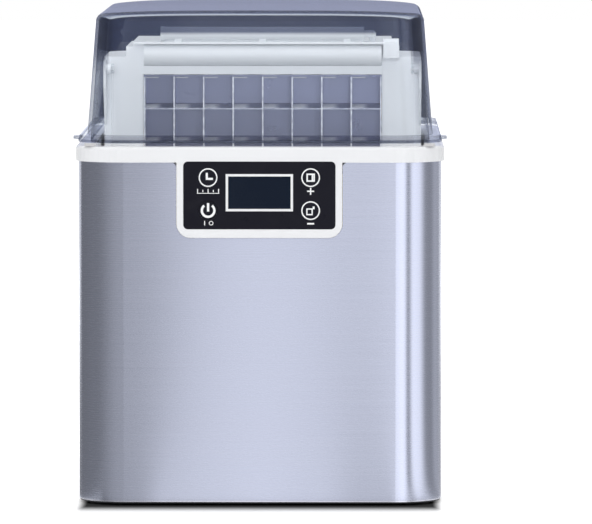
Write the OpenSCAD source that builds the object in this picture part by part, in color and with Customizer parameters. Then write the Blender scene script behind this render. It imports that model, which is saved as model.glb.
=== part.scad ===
// Countertop clear-ice maker: a steel body with a clear lid, a water-fed freezing grid and its cooling plant.
// Millimetres. The origin is the middle of the footprint on the worktop, the front faces -Y.

/* [Body] */
// Width of the steel shell
shell_w = 292; // [286:1:300]
// Depth of the steel shell
shell_d = 360; // [354:1:372]
// Height of the steel shell
shell_h = 273; // [268:1:290]
// Thickness of the steel sheet
steel_t = 0.8; // [0.6:0.1:1.2]
// Outside radius of the shell's front corners
shell_r = 37; // [34:1:40]
// Height of the body above the worktop
foot_h = 3; // [2.5:0.5:8]
// Radius of each foot
foot_r = 12; // [10:0.5:14]
// Distance of the feet from the shell's sides
foot_inset = 20; // [18:1:24]
// Thickness of the base pan's sheet
pan_t = 2; // [1.5:0.5:3]

/* [Top ring] */
// How far the ring stands out past the shell
ring_out = 2.3; // [1.8:0.1:4]
// Height of the ring
ring_h = 12.4; // [11:0.2:15]
// Thickness of the ring's deck
deck_t = 3; // [2.5:0.5:4]
// Radius of the ring's top edge
ring_edge = 2.5; // [1.5:0.5:3]
// Width of the bib that carries the controls
bib_w = 132.7; // [128:0.1:140]
// How far the bib hangs below the ring
bib_drop = 60.4; // [58:0.2:64]
// Radius of the bib's lower corners
bib_r = 11.5; // [8:0.5:14]

/* [Controls] */
// Width of the black overlay
overlay_w = 121.9; // [120:0.1:124]
// Height of the black overlay
overlay_h = 54.4; // [53:0.1:56]
// Thickness of the black overlay
overlay_t = 0.8; // [0.5:0.1:1.2]
// Width of the display's bezel
bezel_w = 53.8; // [50:0.1:56]
// Height of the display's bezel
bezel_h = 29.8; // [27:0.1:32]
// Width of the bezel's line
bezel_line = 1.9; // [1.5:0.1:2.5]
// Radius of each key
key_r = 7.5; // [6.5:0.1:8]
// Travel of each key
key_travel = 0.6; // [0.4:0.1:0.8]
// Distance of the key columns from the middle
key_x = 41; // [39:0.5:43]
// Distance of the key rows from each other
key_pitch = 26.4; // [24:0.2:27]

/* [Lid] */
// Gap between the ring and the lid's flange
lid_gap = 2.6; // [2:0.1:3.4]
// Thickness of the lid's flange
flange_t = 5.6; // [5:0.2:6.4]
// How far the lid's walls stand inside the flange
flange_w = 7.3; // [7:0.1:9.5]
// Height of the lid above its flange
dome_h = 100.6; // [98:0.2:110]
// How far the lid's walls lean in over their height
dome_lean = 6.9; // [6:0.1:7.2]
// Rise of the crown from its edge to its middle
crown_h = 3.4; // [2:0.2:5]
// Radius between the lid's walls and its crown
dome_edge = 5; // [4:0.5:8]
// Corner radius of the lid's walls
dome_r = 30; // [27:1:33]
// Thickness of the lid's plastic
lid_t = 2.5; // [2:0.1:3]
// Radius of the hinge pins
pin_r = 2; // [1.5:0.1:2.5]

/* [Ice bay] */
// Thickness of the insulation
foam_t = 8.4; // [7:0.2:9]
// Thickness of the liner's wall
liner_t = 2; // [1.5:0.1:2.5]
// Depth of the cooling plant's space, with the wall before it
plant_d = 152; // [146:1:156]
// Height of the liner's floor above the worktop
bay_floor = 45; // [43:1:49]
// Room beside the ice basket, both sides together
basket_room = 32.4; // [30:0.2:48]
// Room behind the ice basket
chute_room = 74; // [70:1:88]
// Height of the ice basket
basket_h = 96; // [80:1:100]
// Thickness of the ice basket's wall
basket_t = 2; // [1.6:0.2:3]
// Height of the basket's rails above the liner's floor
rail_h = 46; // [44:1:48]
// Number of bars in the ice chute
chute_bars = 19; // [15:2:23]

/* [Freezing grid] */
// Number of cells across
cells_x = 8; // [7:1:8]
// Number of cells down
cells_z = 4; // [3:1:4]
// Room beside the grid, both sides together
grid_room = 72.4; // [70:0.2:80]
// Height of each cell, with one fin
cell_h = 27.5; // [24:0.1:28]
// Depth of the cells
cell_d = 20; // [17:0.5:21]
// Thickness of the fins
fin_t = 1.2; // [0.8:0.1:1.6]
// Fall of the floor fins towards the front, in degrees
fin_fall = 9.5; // [6:0.5:12]
// Radius of the refrigerant coil's tube
coil_r = 3.5; // [3:0.1:3.8]

/* [Water parts] */
// Radius of the water tube over the grid
water_r = 5.8; // [5:0.1:6.4]
// Length of the water tube
water_len = 168; // [160:1:172]
// Radius of the pump hose
hose_r = 4.6; // [4.2:0.1:4.8]
// Thickness of the water curtain
curtain_t = 1.6; // [1.2:0.1:2]
// Radius of the pump
pump_r = 15; // [13:0.5:16]
// Radius of the level float
float_r = 11; // [9:0.5:12]
// Lift of the level float
float_lift = 14; // [8:1:15]
// Radius of the drain tube
drain_r = 5; // [4.8:0.1:6]

/* [Cooling plant] */
// Radius of the compressor's can
can_r = 48; // [44:0.5:49]
// Height of the compressor's can
can_h = 114; // [100:1:120]
// Radius of the fan's blades
fan_r = 47; // [42:0.5:48]
// Number of fan blades
fan_blades = 7; // [5:1:9]
// Height of the condenser
condenser_h = 130; // [125:1:140]
// Number of condenser fins
condenser_fins = 20; // [14:1:24]
// Bore of the cord gland
gland_bore = 3.6; // [3:0.1:4]

/* [Hidden] */
gap = 0.3;
run = 0.08;
eps = 0.01;
curve = 48;

front = -shell_d / 2;
back = shell_d / 2;
half_w = shell_w / 2;
shell_top = foot_h + shell_h;
ring_top = shell_top + ring_h;
ring_front = front - ring_out;
ring_back = back + ring_out;
ring_w = shell_w + 2 * ring_out;
skirt_t = 2.2;
skirt_drop = 9;
lining = steel_t + gap;
skirt_in = lining + skirt_t;

jacket_in = lining + foam_t;
liner_out = jacket_in + gap;
bay_in = liner_out + liner_t;
bay_hw = half_w - bay_in;
bay_front = front + bay_in;
bay_run = shell_d - plant_d;
bay_back = bay_front + bay_run;
bay_r = shell_r - bay_in + 1;
jacket_back = bay_back + liner_t + gap + foam_t - 0.5;
jacket_z0 = bay_floor - liner_t - gap - foam_t - 1.3;
jacket_top = shell_top - skirt_drop - 0.5;
deck_z = ring_top - deck_t;

pan_z = foot_h;
pan_top = pan_z + pan_t;
lip_t = 1;
foot_x = half_w - foot_inset;
foot_y = back - foot_inset - 4;
panel_t = 1.2;
panel_y = back - 4;

bib_face = ring_front;
bib_back = front + 1;
bib_z0 = shell_top - bib_drop;
overlay_top = shell_top + 0.9;
overlay_mid = overlay_top - overlay_h / 2;
display_z = overlay_mid + 2.2;
key_mid = overlay_mid + 1.1;
board_y = bib_back + 4.4;
board_t = 1.6;
key_flange_r = key_r + 1.5;
key_spots = [[-key_x, 1], [-key_x, -1], [key_x, 1], [key_x, -1]];

lid_z0 = ring_top + lid_gap;
lid_z1 = lid_z0 + flange_t;
lid_hw = half_w + 0.3;
lid_front = front;
lid_back = back - 12;
dome_hw = lid_hw - flange_w;
dome_front = lid_front + flange_w - 1;
dome_back = lid_back - 4;
dome_top = lid_z1 + dome_h;
dome_edge_z = dome_top - crown_h - dome_edge;
pivot_y = back - 6;
pivot_z = lid_z0 + 3;
knuckle_r = 4.5;
knuckle_x = 72;
knuckle_len = 24;
lug_t = 6;
lug_gap = 0.3;
ear_x = 4.2;

grid_w = 2 * bay_hw - grid_room;
cell_pitch = grid_w / cells_x;
grid_h = cells_z * cell_h;
grid_top = ring_top + 49.9;
grid_z0 = grid_top - grid_h;
grid_front = bay_back - 29.8;
grid_back = grid_front + cell_d;
plate_t = 1.2;
coil_y = grid_back + plate_t + coil_r;
coil_x = grid_w / 2 - 12;
coil_exit_z = grid_z0 + cell_h + 1;
coil_exit_x = coil_x + cell_h / 2 + 10.2;
tube_end_y = jacket_back + 12;

case_hw = bay_hw - 2.8;
case_t = 2;
case_front = grid_front + 2;
case_back = back - 34;
case_r = 26;
shoulder_z = grid_top + 15.2;
step_z = grid_top + 23.4;
case_top = grid_top + 27.7;
step_x = grid_w / 2 + 15.3;
top_x = grid_w / 2 + 9.5;
shelf_d = 9;
window_gap = 0.3;

bar_r = (case_top - case_t - grid_top - 7.7) / 2;
bar_z = grid_top + 7.7 + bar_r;
water_y = case_front - 4;
water_z = case_top + water_r + 0.9;
water_in_x = water_len / 2 + 7;
hose_x = grid_w / 2 + 11;
hose_y = bay_back - 17.8;
hose_turn_z = grid_top + 8.5;
barb_r = hose_r - 1.2;

curtain_y = case_front - 16;
curtain_z = grid_top + 5.7;
curtain_hw = case_hw - 6.4;
curtain_z0 = grid_z0 + 6.7;
curtain_top = case_top - 0.3;
curtain_pin = 2.5;
curtain_boss = curtain_pin + 1.6;
boss_w = 2;

basket_z0 = bay_floor + rail_h + gap;
basket_y0 = bay_front + 8;
basket_taper = 4;
basket_run = bay_run - chute_room;
basket_span = 2 * bay_hw - basket_room;
rail_t = 4;
sensor_z = basket_z0 + basket_h + 12;
chute_front = basket_y0 + basket_run + 3;
chute_back = case_front - 2;
chute_z = basket_z0 + basket_h - 1;
chute_rise = 22;

pump_z0 = bay_floor + 10;
pump_h = 26;
float_x = -(grid_w / 2 + 2);
float_y = bay_back - 16;
float_h = 14;
stem_r = 3;
drain_z = foot_h + 20;
drain_bore = drain_r - 1.4;

can_x = -half_w + 74;
can_y = (jacket_back + panel_y) / 2 - 1;
can_z0 = pan_top + 10.5;
mount_span = 36;
condenser_x0 = 18;
condenser_x1 = half_w - 8;
fan_x = (condenser_x0 + condenser_x1) / 2;
condenser_y0 = panel_y - 34;
condenser_d = 22;
condenser_z0 = pan_top + 20;
fan_z = condenser_z0 + condenser_h / 2;
shroud_r = fan_r + 3;
shroud_y = condenser_y0 - 6;
arm_y = shroud_y - 20;
rotor_y = arm_y + 5.5;
rotor_d = 13;
shaft_r = 2;
drier_y = condenser_y0 + 11;
gland_x = -half_w + 34;
gland_z = pan_top + 35;
vent_pitch = (condenser_x1 - condenser_x0 - 12) / 3;
board_w = bib_w - 8.7;
power_x0 = 15;
power_w = half_w - 21 - power_x0;
power_h = shell_h * 0.3;

// A rectangle from y0 to y1 with round corners, rf at the front and rb at the back
module plan(w, y0, y1, rf, rb) {
  for (side = [-1, 1]) {
    translate([side * (w / 2 - rf), y0 + rf]) circle(r = rf, $fn = curve);
    translate([side * (w / 2 - rb), y1 - rb]) circle(r = rb, $fn = curve);
  }
  translate([-w / 2, y0 + rf]) square([w, y1 - y0 - rf - rb]);
  translate([-w / 2 + rf, y0]) square([w - 2 * rf, rf + eps]);
  translate([-w / 2 + rb, y1 - rb - eps]) square([w - 2 * rb, rb + eps]);
}

module slab(w, y0, y1, rf, rb, z0, z1) {
  translate([0, 0, z0]) linear_extrude(z1 - z0) plan(w, y0, y1, rf, rb);
}

// A plate across the front: x from -w/2 to w/2, z from z0 to z1, with its lower corners round
module front_plate(w, z0, z1, r, y0, y1, top_r = 0) {
  translate([0, y1, 0]) rotate([90, 0, 0]) linear_extrude(y1 - y0) {
    for (side = [-1, 1]) translate([side * (w / 2 - r), z0 + r]) circle(r = r, $fn = curve);
    translate([-w / 2 + r, z0]) square([w - 2 * r, r + eps]);
    translate([-w / 2, z0 + r]) square([w, z1 - z0 - r - top_r]);
    if (top_r > 0) {
      for (side = [-1, 1]) translate([side * (w / 2 - top_r), z1 - top_r]) circle(r = top_r, $fn = curve);
      translate([-w / 2 + top_r, z1 - top_r - eps]) square([w - 2 * top_r, top_r + eps]);
    }
  }
}

// A cylinder along Y from y0 to y1
module rod_y(r, y0, y1, x, z) {
  translate([x, y0, z]) rotate([-90, 0, 0]) cylinder(r = r, h = y1 - y0, $fn = curve);
}

// A cylinder along X from x0 to x1
module rod_x(r, x0, x1, y, z) {
  translate([x0, y, z]) rotate([0, 90, 0]) cylinder(r = r, h = x1 - x0, $fn = curve);
}

// A cylinder along X on one side of the middle, from a to b away from it
module side_rod(side, r, a, b, y, z) {
  rod_x(r, min(side * a, side * b), max(side * a, side * b), y, z);
}

// A bent tube: straight runs between the points, with a ball a little fatter than the tube at each bend
module bent_tube(points, r, ball = 1.04) {
  for (i = [1 : len(points) - 1]) {
    from = points[i - 1];
    run_to = points[i] - from;
    translate(from) rotate([0, acos(run_to[2] / norm(run_to)), atan2(run_to[1], run_to[0])])
      cylinder(r = r, h = norm(run_to), $fn = curve);
  }
  for (i = [1 : len(points) - 2]) translate(points[i]) sphere(r = r * ball, $fn = curve);
}

module base_pan() {
  color("dimgray") difference() {
    union() {
      slab(shell_w - 1, front + 0.5, back - 0.5, shell_r - 0.5, 3, pan_z - lip_t, pan_z);
      slab(shell_w - 2 * lining, front + lining, back - 4.5, shell_r - lining, 3, pan_z - eps, pan_top + 10);
      for (x = [-100, 100]) for (y = [front + 40, bay_back - 20])
        translate([x, y, pan_z]) cylinder(r = 8, h = jacket_z0 - pan_z, $fn = curve);
    }
    difference() {
      slab(shell_w - 2 * lining - 4, front + lining + 2, back - 6.5, shell_r - lining - 2, 2,
        pan_top, pan_top + 11);
      for (x = [-100, 100]) for (y = [front + 40, bay_back - 20])
        translate([x, y, pan_top - 1]) cylinder(r = 8, h = 13, $fn = curve);
    }
    for (x = [-foot_x, foot_x]) for (y = [-foot_y, foot_y])
      translate([x, y, pan_z - 2]) cylinder(r = 5.2, h = pan_t + 4, $fn = curve);
  }
}

module feet() {
  color("black") for (x = [-foot_x, foot_x]) for (y = [-foot_y, foot_y]) translate([x, y, 0]) {
    difference() {
      cylinder(r1 = foot_r - 1.5, r2 = foot_r, h = pan_z - lip_t, $fn = curve);
      translate([0, 0, -1]) cylinder(r = foot_r - 6, h = 1 + (pan_z - lip_t) / 2, $fn = curve);
    }
    cylinder(r = 5, h = pan_top + 1, $fn = curve);
    translate([0, 0, pan_top]) cylinder(r1 = 6.5, r2 = 5, h = 2, $fn = curve);
  }
}

module side_louvres(side) {
  for (row = [0 : 13]) for (column = [0, 1]) {
    y = back - 112 + column * 46;
    z = foot_h + 42 + row * 10;
    translate([side * half_w - 3, 0, 0]) {
      translate([0, y, z - 1.6]) cube([6, 36, 3.2]);
      rod_x(1.6, 0, 6, y, z);
      rod_x(1.6, 0, 6, y + 36, z);
    }
  }
}

module steel_shell() {
  notch_w = bib_w + 2 * gap;
  flare = 4;
  color("silver") difference() {
    slab(shell_w, front, back, shell_r, 1, pan_z, shell_top);
    slab(shell_w - 2 * steel_t, front + steel_t, back + 20, shell_r - steel_t, 1, pan_z - 1, shell_top + 1);
    front_plate(notch_w, bib_z0 - gap, shell_top + 5, bib_r + gap, front - 1, front + 3);
    translate([0, front + 3, 0]) rotate([90, 0, 0]) linear_extrude(4) difference() {
      translate([-notch_w / 2 - flare, shell_top - flare]) square([notch_w + 2 * flare, flare + 1]);
      for (side = [-1, 1])
        translate([side * (notch_w / 2 + flare), shell_top - flare]) circle(r = flare, $fn = curve);
    }
    for (side = [-1, 1]) side_louvres(side);
  }
}

module rear_panel() {
  z0 = pan_z + gap;
  z1 = shell_top - gap;
  hw = half_w - lining;
  color("gainsboro") difference() {
    union() {
      translate([-hw, panel_y, z0]) cube([2 * hw, panel_t, z1 - z0]);
      for (side = [-1, 1]) translate([side * (hw - panel_t / 2) - panel_t / 2, panel_y - 12, pan_top + 11])
        cube([panel_t, 12 + eps, z1 - pan_top - 11]);
    }
    for (row = [0 : 10]) for (column = [0, 1, 2]) {
      x = condenser_x0 + 14 + column * vent_pitch;
      z = condenser_z0 + 14 + row * 10.4;
      translate([x, panel_y - 1, z - 2]) cube([vent_pitch - 12, 4, 4]);
      rod_y(2, panel_y - 1, panel_y + 3, x, z);
      rod_y(2, panel_y - 1, panel_y + 3, x + vent_pitch - 12, z);
    }
    for (row = [0 : 7]) for (column = [0, 1]) {
      x = -half_w + 36 + column * 40;
      z = shell_top - 30 - row * 10.4;
      translate([x, panel_y - 1, z - 2]) cube([28, 4, 4]);
      rod_y(2, panel_y - 1, panel_y + 3, x, z);
      rod_y(2, panel_y - 1, panel_y + 3, x + 28, z);
    }
    rod_y(drain_r + gap, panel_y - 1, panel_y + 3, 0, drain_z);
    rod_y(7 + gap, panel_y - 1, panel_y + 3, gland_x, gland_z);
    for (p = screw_spots) rod_y(2.1, panel_y - 1, panel_y + 3, p[0], p[1]);
  }
}
screw_spots = [for (side = [-1, 1]) for (k = [0, 1, 2])
  [side * (half_w - 10), pan_z + 24 + k * (shell_h - 40) / 2]];

module panel_screws() {
  head_y = panel_y + panel_t;
  color("silver") for (p = screw_spots) {
    rod_y(1.9, panel_y - 7, head_y + 0.5, p[0], p[1]);
    translate([p[0], head_y, p[1]]) rotate([-90, 0, 0]) difference() {
      union() {
        cylinder(r = 3.4, h = 1.2, $fn = curve);
        translate([0, 0, 1.2]) cylinder(r1 = 3.4, r2 = 2.4, h = 0.8, $fn = curve);
      }
      translate([-0.5, -2.2, 1]) cube([1, 4.4, 3]);
      translate([-2.2, -0.5, 1]) cube([4.4, 1, 3]);
    }
  }
}

// The ring's outside, its top edge rounded
module ring_block() {
  hull() for (a = [0 : 18 : 90]) {
    inset = ring_edge * (1 - cos(a));
    translate([0, 0, (a == 0) ? shell_top : ring_top - ring_edge + ring_edge * sin(a) - eps])
      linear_extrude((a == 0) ? ring_h - ring_edge : eps)
      plan(ring_w - 2 * inset, ring_front + inset, ring_back - inset, shell_r + ring_out - inset,
        14 - inset);
  }
}

module hinge_lug(x) {
  translate([x, 0, 0]) {
    rod_x(knuckle_r, 0, lug_t, pivot_y, pivot_z);
    translate([0, pivot_y - knuckle_r, ring_top - eps]) cube([lug_t, 2 * knuckle_r, pivot_z - ring_top]);
  }
}

module top_ring() {
  cavity_z = ring_top - deck_t;
  color("white") difference() {
    union() {
      difference() {
        ring_block();
        slab(shell_w - 2 * skirt_in, front + skirt_in, back - 1, shell_r - skirt_in, 3, shell_top - 1, cavity_z);
      }
      difference() {
        slab(shell_w - 2 * lining, front + lining, back - 18, shell_r - lining, 2, shell_top - skirt_drop,
          shell_top + 1);
        slab(shell_w - 2 * skirt_in, front + skirt_in, back, shell_r - skirt_in, 2,
          shell_top - skirt_drop - 1, shell_top + 2);
        translate([-bib_w / 2 - 4, front, shell_top - 20]) cube([bib_w + 8, 6, 20]);
      }
      front_plate(bib_w, bib_z0, shell_top + 1, bib_r, bib_face, bib_back);
      for (x = [-board_w / 2 + 5, board_w / 2 - 5]) for (z = [bib_z0 + 10, shell_top - 6]) rod_y(2.5, bib_back - 1, board_y, x, z);
      for (side = [-1, 1]) for (end = [-1, 1])
        hinge_lug(side * knuckle_x + end * (knuckle_len / 2 + lug_gap + lug_t / 2) - lug_t / 2);
    }
    slab(2 * bay_hw, bay_front, bay_back, bay_r, 8, shell_top - 30, ring_top + 1);
    front_plate(overlay_w, overlay_top - overlay_h, overlay_top, 3.8, bib_face - 1, bib_face + overlay_t, 3.8);
    translate([0, 0, display_z]) cube([bezel_w - 3, 20, bezel_h - 3] + [0, 2 * (bib_back - bib_face), 0],
      center = true);
    translate([-bezel_w / 2 + 1.5, bib_face - 1, display_z - bezel_h / 2 + 1.5])
      cube([bezel_w - 3, 8, bezel_h - 3]);
    translate([-bezel_w / 2 - 0.1, bib_face - 1, display_z - bezel_h / 2 - 0.1])
      cube([bezel_w + 0.2, 3, bezel_h + 0.2]);
    for (k = key_spots)
      rod_y(key_r + gap, bib_face - 1, bib_back + 1, k[0], key_mid + k[1] * key_pitch / 2);
    for (side = [-1, 1])
      rod_x(pin_r + 0.03, side * knuckle_x - 30, side * knuckle_x + 30, pivot_y, pivot_z);
  }
}

module control_overlay() {
  color([0.11, 0.11, 0.15]) difference() {
    front_plate(overlay_w - 0.2, overlay_top - overlay_h + 0.1, overlay_top - 0.1, 3.7, bib_face,
      bib_face + overlay_t, 3.7);
    translate([-bezel_w / 2 - 0.1, bib_face - 1, display_z - bezel_h / 2 - 0.1])
      cube([bezel_w + 0.2, 3, bezel_h + 0.2]);
    for (k = key_spots)
      rod_y(key_r + gap, bib_face - 1, bib_face + 2, k[0], key_mid + k[1] * key_pitch / 2);
  }
}

module display_bezel() {
  color("white") difference() {
    translate([-bezel_w / 2, bib_face, display_z - bezel_h / 2]) cube([bezel_w, 2, bezel_h]);
    translate([-bezel_w / 2 + bezel_line, bib_face - 1, display_z - bezel_h / 2 + bezel_line])
      cube([bezel_w - 2 * bezel_line, 4, bezel_h - 2 * bezel_line]);
  }
}

module lcd_module() {
  w = bezel_w - 2 * bezel_line - 0.2;
  h = bezel_h - 2 * bezel_line - 0.2;
  color([0.08, 0.13, 0.18]) {
    translate([-w / 2, bib_face + 0.4, display_z - h / 2]) cube([w, board_y - bib_face - 0.4, h]);
    translate([-w / 2 - 3, bib_back + 0.8, display_z - h / 2 - 3]) cube([w + 6, board_y - bib_back - 0.8, h + 6]);
  }
}

module display_board() {
  color("green") difference() {
    translate([-board_w / 2, board_y, bib_z0 + 5]) cube([board_w, board_t, bib_drop - 8]);
    for (x = [-board_w / 2 + 5, board_w / 2 - 5]) for (z = [bib_z0 + 10, shell_top - 6]) rod_y(1.2, board_y - 1, board_y + 3, x, z);
  }
  color("dimgray") for (k = key_spots) translate([k[0], 0, key_mid + k[1] * key_pitch / 2]) {
    translate([-3, board_y - 1.4, -3]) cube([6, 1.4 + eps, 6]);
    rod_y(1.5, board_y - 2, board_y, 0, 0);
  }
}

// A key cap: a flat disc through the overlay, a hidden flange that keeps it in, and a nub over its switch
module key_cap(index) {
  k = key_spots[index];
  color([0.12, 0.12, 0.16]) {
    translate([k[0], 0, key_mid + k[1] * key_pitch / 2]) {
      rod_y(key_r, bib_face, bib_back + gap + 0.9, 0, 0);
      rod_y(key_flange_r, bib_back + gap, bib_back + gap + 0.9, 0, 0);
      rod_y(1.5, bib_back + gap, board_y - 2 - key_travel - 0.1, 0, 0);
    }
  }
}
module key_timer() key_cap(0);
module key_power() key_cap(1);
module key_plus() key_cap(2);
module key_minus() key_cap(3);

// The dome as a stack of thin plans: up the leaning wall, round its top edge, then over the crown
module dome(t, z0) {
  edge_angles = [0 : 22.5 : 90];
  edge_in = dome_lean + dome_edge;
  hull() {
    dome_plan(0, z0, t);
    for (a = edge_angles) dome_plan(dome_lean + dome_edge * (1 - cos(a)), dome_edge_z + dome_edge * sin(a) - t, t);
    for (share = [0.85, 0.6, 0.3])
      crown_plan(edge_in, share, dome_top - crown_h * share * share - t, t);
  }
}

module dome_plan(inset, z, t) {
  translate([0, 0, z]) linear_extrude(eps)
    plan(2 * (dome_hw - inset - t), dome_front + inset + t, dome_back - inset - t, dome_r - inset / 2 - t,
      dome_r - inset / 2 - t, $fn = 48);
}

module crown_plan(inset, share, z, t) {
  translate([0, 0, z]) linear_extrude(eps)
    plan(2 * (dome_hw - inset - t) * share, dome_front + inset + t, dome_back - inset - t, 12, 12, $fn = 48);
}

module lid() {
  color([0.6, 0.65, 0.8, 0.4]) difference() {
    union() {
      dome(0, lid_z0);
      slab(2 * lid_hw, lid_front, lid_back, shell_r + 0.3, 16, lid_z0, lid_z0 + flange_t / 2);
      slab(2 * lid_hw - 1.6, lid_front + 0.8, lid_back - 0.8, shell_r - 0.5, 15.2, lid_z0, lid_z1);
      for (side = [-1, 1]) {
        translate([0, 0, lid_z0 + 2]) linear_extrude(2) polygon([
          [side * (lid_hw - 2), front + 28],
          [side * (lid_hw + ear_x), front + 40],
          [side * (lid_hw + ear_x), front + 58],
          [side * (lid_hw - 2), front + 70]]);
        rod_x(knuckle_r, side * knuckle_x - knuckle_len / 2, side * knuckle_x + knuckle_len / 2, pivot_y, pivot_z);
        translate([side * knuckle_x - knuckle_len / 2, lid_back - 3, pivot_z - 2])
          cube([knuckle_len, pivot_y - lid_back + 3, 4.5]);
      }
    }
    dome(lid_t, lid_z0 - 1);
    for (side = [-1, 1])
      rod_x(pin_r + run, side * knuckle_x - 20, side * knuckle_x + 20, pivot_y, pivot_z);
  }
}

module lid_bumpers() {
  color("lightgray") for (side = [-1, 1]) translate([side * (half_w - 10), front + 12, ring_top])
    cylinder(r1 = 5, r2 = 4.2, h = lid_gap - gap, $fn = curve);
}

module hinge_pins() {
  color("silver") for (side = [-1, 1]) {
    reach = knuckle_len / 2 + lug_gap + lug_t;
    rod_x(pin_r, side * knuckle_x - reach, side * knuckle_x + reach, pivot_y, pivot_z);
    rod_x(pin_r + 1.4, side * (knuckle_x + reach + 0.6) - 0.6, side * (knuckle_x + reach + 0.6) + 0.6,
      pivot_y, pivot_z);
  }
}

module insulation_jacket() {
  inner = jacket_in;
  color("khaki") difference() {
    slab(shell_w - 2 * lining, front + lining, jacket_back, shell_r - lining, 8, jacket_z0, jacket_top);
    slab(shell_w - 2 * inner, front + inner, bay_back + liner_t + gap, shell_r - inner, 7,
      bay_floor - liner_t - gap, jacket_top + 1);
    translate([-board_w / 2 - 4, front, bib_z0 + 2]) cube([board_w + 8, inner + 1, bib_drop]);
    for (spot = [[-coil_x, grid_z0 + cell_h / 2], [-coil_exit_x, coil_exit_z]])
      rod_y(coil_r + 1, bay_back - 5, jacket_back + 5, spot[0], spot[1]);
    translate([0, 0, jacket_z0 - 5]) cylinder(r = drain_r + gap, h = 30, $fn = curve);
  }
}

module liner() {
  color("whitesmoke") difference() {
    union() {
      difference() {
        slab(2 * (bay_hw + liner_t), bay_front - liner_t, bay_back + liner_t, bay_r + liner_t, 8,
          bay_floor - liner_t, deck_z);
        slab(2 * bay_hw, bay_front, bay_back, bay_r, 6, bay_floor, deck_z + 5);
      }
      for (side = [-1, 1]) for (y = [basket_y0 + 16, basket_y0 + basket_run - 34])
        translate([side * (bay_hw - 12 + eps) - 12, y, bay_floor + rail_h - rail_t])
          cube([24 + 0.5, 18, rail_t]);
    }
    for (spot = [[-coil_x, grid_z0 + cell_h / 2], [-coil_exit_x, coil_exit_z]])
      rod_y(coil_r + gap, bay_back - 5, bay_back + 5, spot[0], spot[1]);
    translate([0, 0, bay_floor - 5]) cylinder(r = drain_bore + gap, h = 30, $fn = curve);
  }
}

module evaporator_grid() {
  fall = cell_d * tan(fin_fall);
  color("slategray") {
    for (i = [0 : cells_x]) translate([-grid_w / 2 + i * cell_pitch - fin_t / 2, grid_front, grid_z0])
      cube([fin_t, cell_d + eps, grid_h]);
    intersection() {
      translate([-grid_w / 2 - fin_t / 2, grid_front, grid_z0 - 10])
        cube([grid_w + fin_t, cell_d + eps, grid_h + 10 + fall + fin_t]);
      for (j = [0 : cells_z]) translate([-grid_w / 2 - fin_t / 2, grid_front, grid_z0 + j * cell_h - fin_t / 2])
        rotate([fin_fall, 0, 0]) translate([0, -2, -fin_t / 2]) cube([grid_w + fin_t, cell_d + 6, fin_t]);
    }
    translate([-grid_w / 2 - fin_t / 2, grid_back, grid_z0 - fin_t])
      cube([grid_w + fin_t, plate_t, grid_h + fall + fin_t]);
  }
}

// A serpentine along the grid's back, and its two ends led out through the liner
module refrigerant_coil() {
  color("chocolate") {
    for (j = [0 : cells_z - 1]) rod_x(coil_r, -coil_x, coil_x, coil_y, grid_z0 + (j + 0.5) * cell_h);
    for (j = [0 : cells_z - 2]) {
      side = (j % 2 == 0) ? 1 : -1;
      translate([side * coil_x, coil_y, grid_z0 + (j + 1) * cell_h]) rotate([90, 0, 0])
        rotate([0, 0, side > 0 ? -90 : 90]) rotate_extrude(angle = 180, $fn = curve)
        translate([cell_h / 2, 0]) circle(r = coil_r, $fn = curve);
    }
    bent_tube([[-coil_x, coil_y, grid_z0 + cell_h / 2], [-coil_x, tube_end_y, grid_z0 + cell_h / 2]], coil_r);
    translate([-coil_x, coil_y, grid_z0 + cell_h / 2]) sphere(r = coil_r * 1.04, $fn = curve);
    bent_tube([[-coil_x, coil_y, grid_top - cell_h / 2], [-coil_exit_x, coil_y, grid_top - cell_h / 2],
      [-coil_exit_x, coil_y, coil_exit_z], [-coil_exit_x, tube_end_y, coil_exit_z]], coil_r);
    rod_y(coil_r + 2.5, tube_end_y - 8, tube_end_y + 1, -coil_x, grid_z0 + cell_h / 2);
  }
}

// The housing's stepped front outline, drawn in X and Z, drawn in by t
module step_outline(t, z0) {
  polygon([[-case_hw + t, z0], [-case_hw + t, shoulder_z - t], [-step_x + t, shoulder_z - t],
    [-step_x + t, step_z - t], [-top_x + t, step_z - t], [-top_x + t, case_top - t],
    [top_x - t, case_top - t], [top_x - t, step_z - t], [step_x - t, step_z - t],
    [step_x - t, shoulder_z - t], [case_hw - t, shoulder_z - t], [case_hw - t, z0]]);
}

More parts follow.
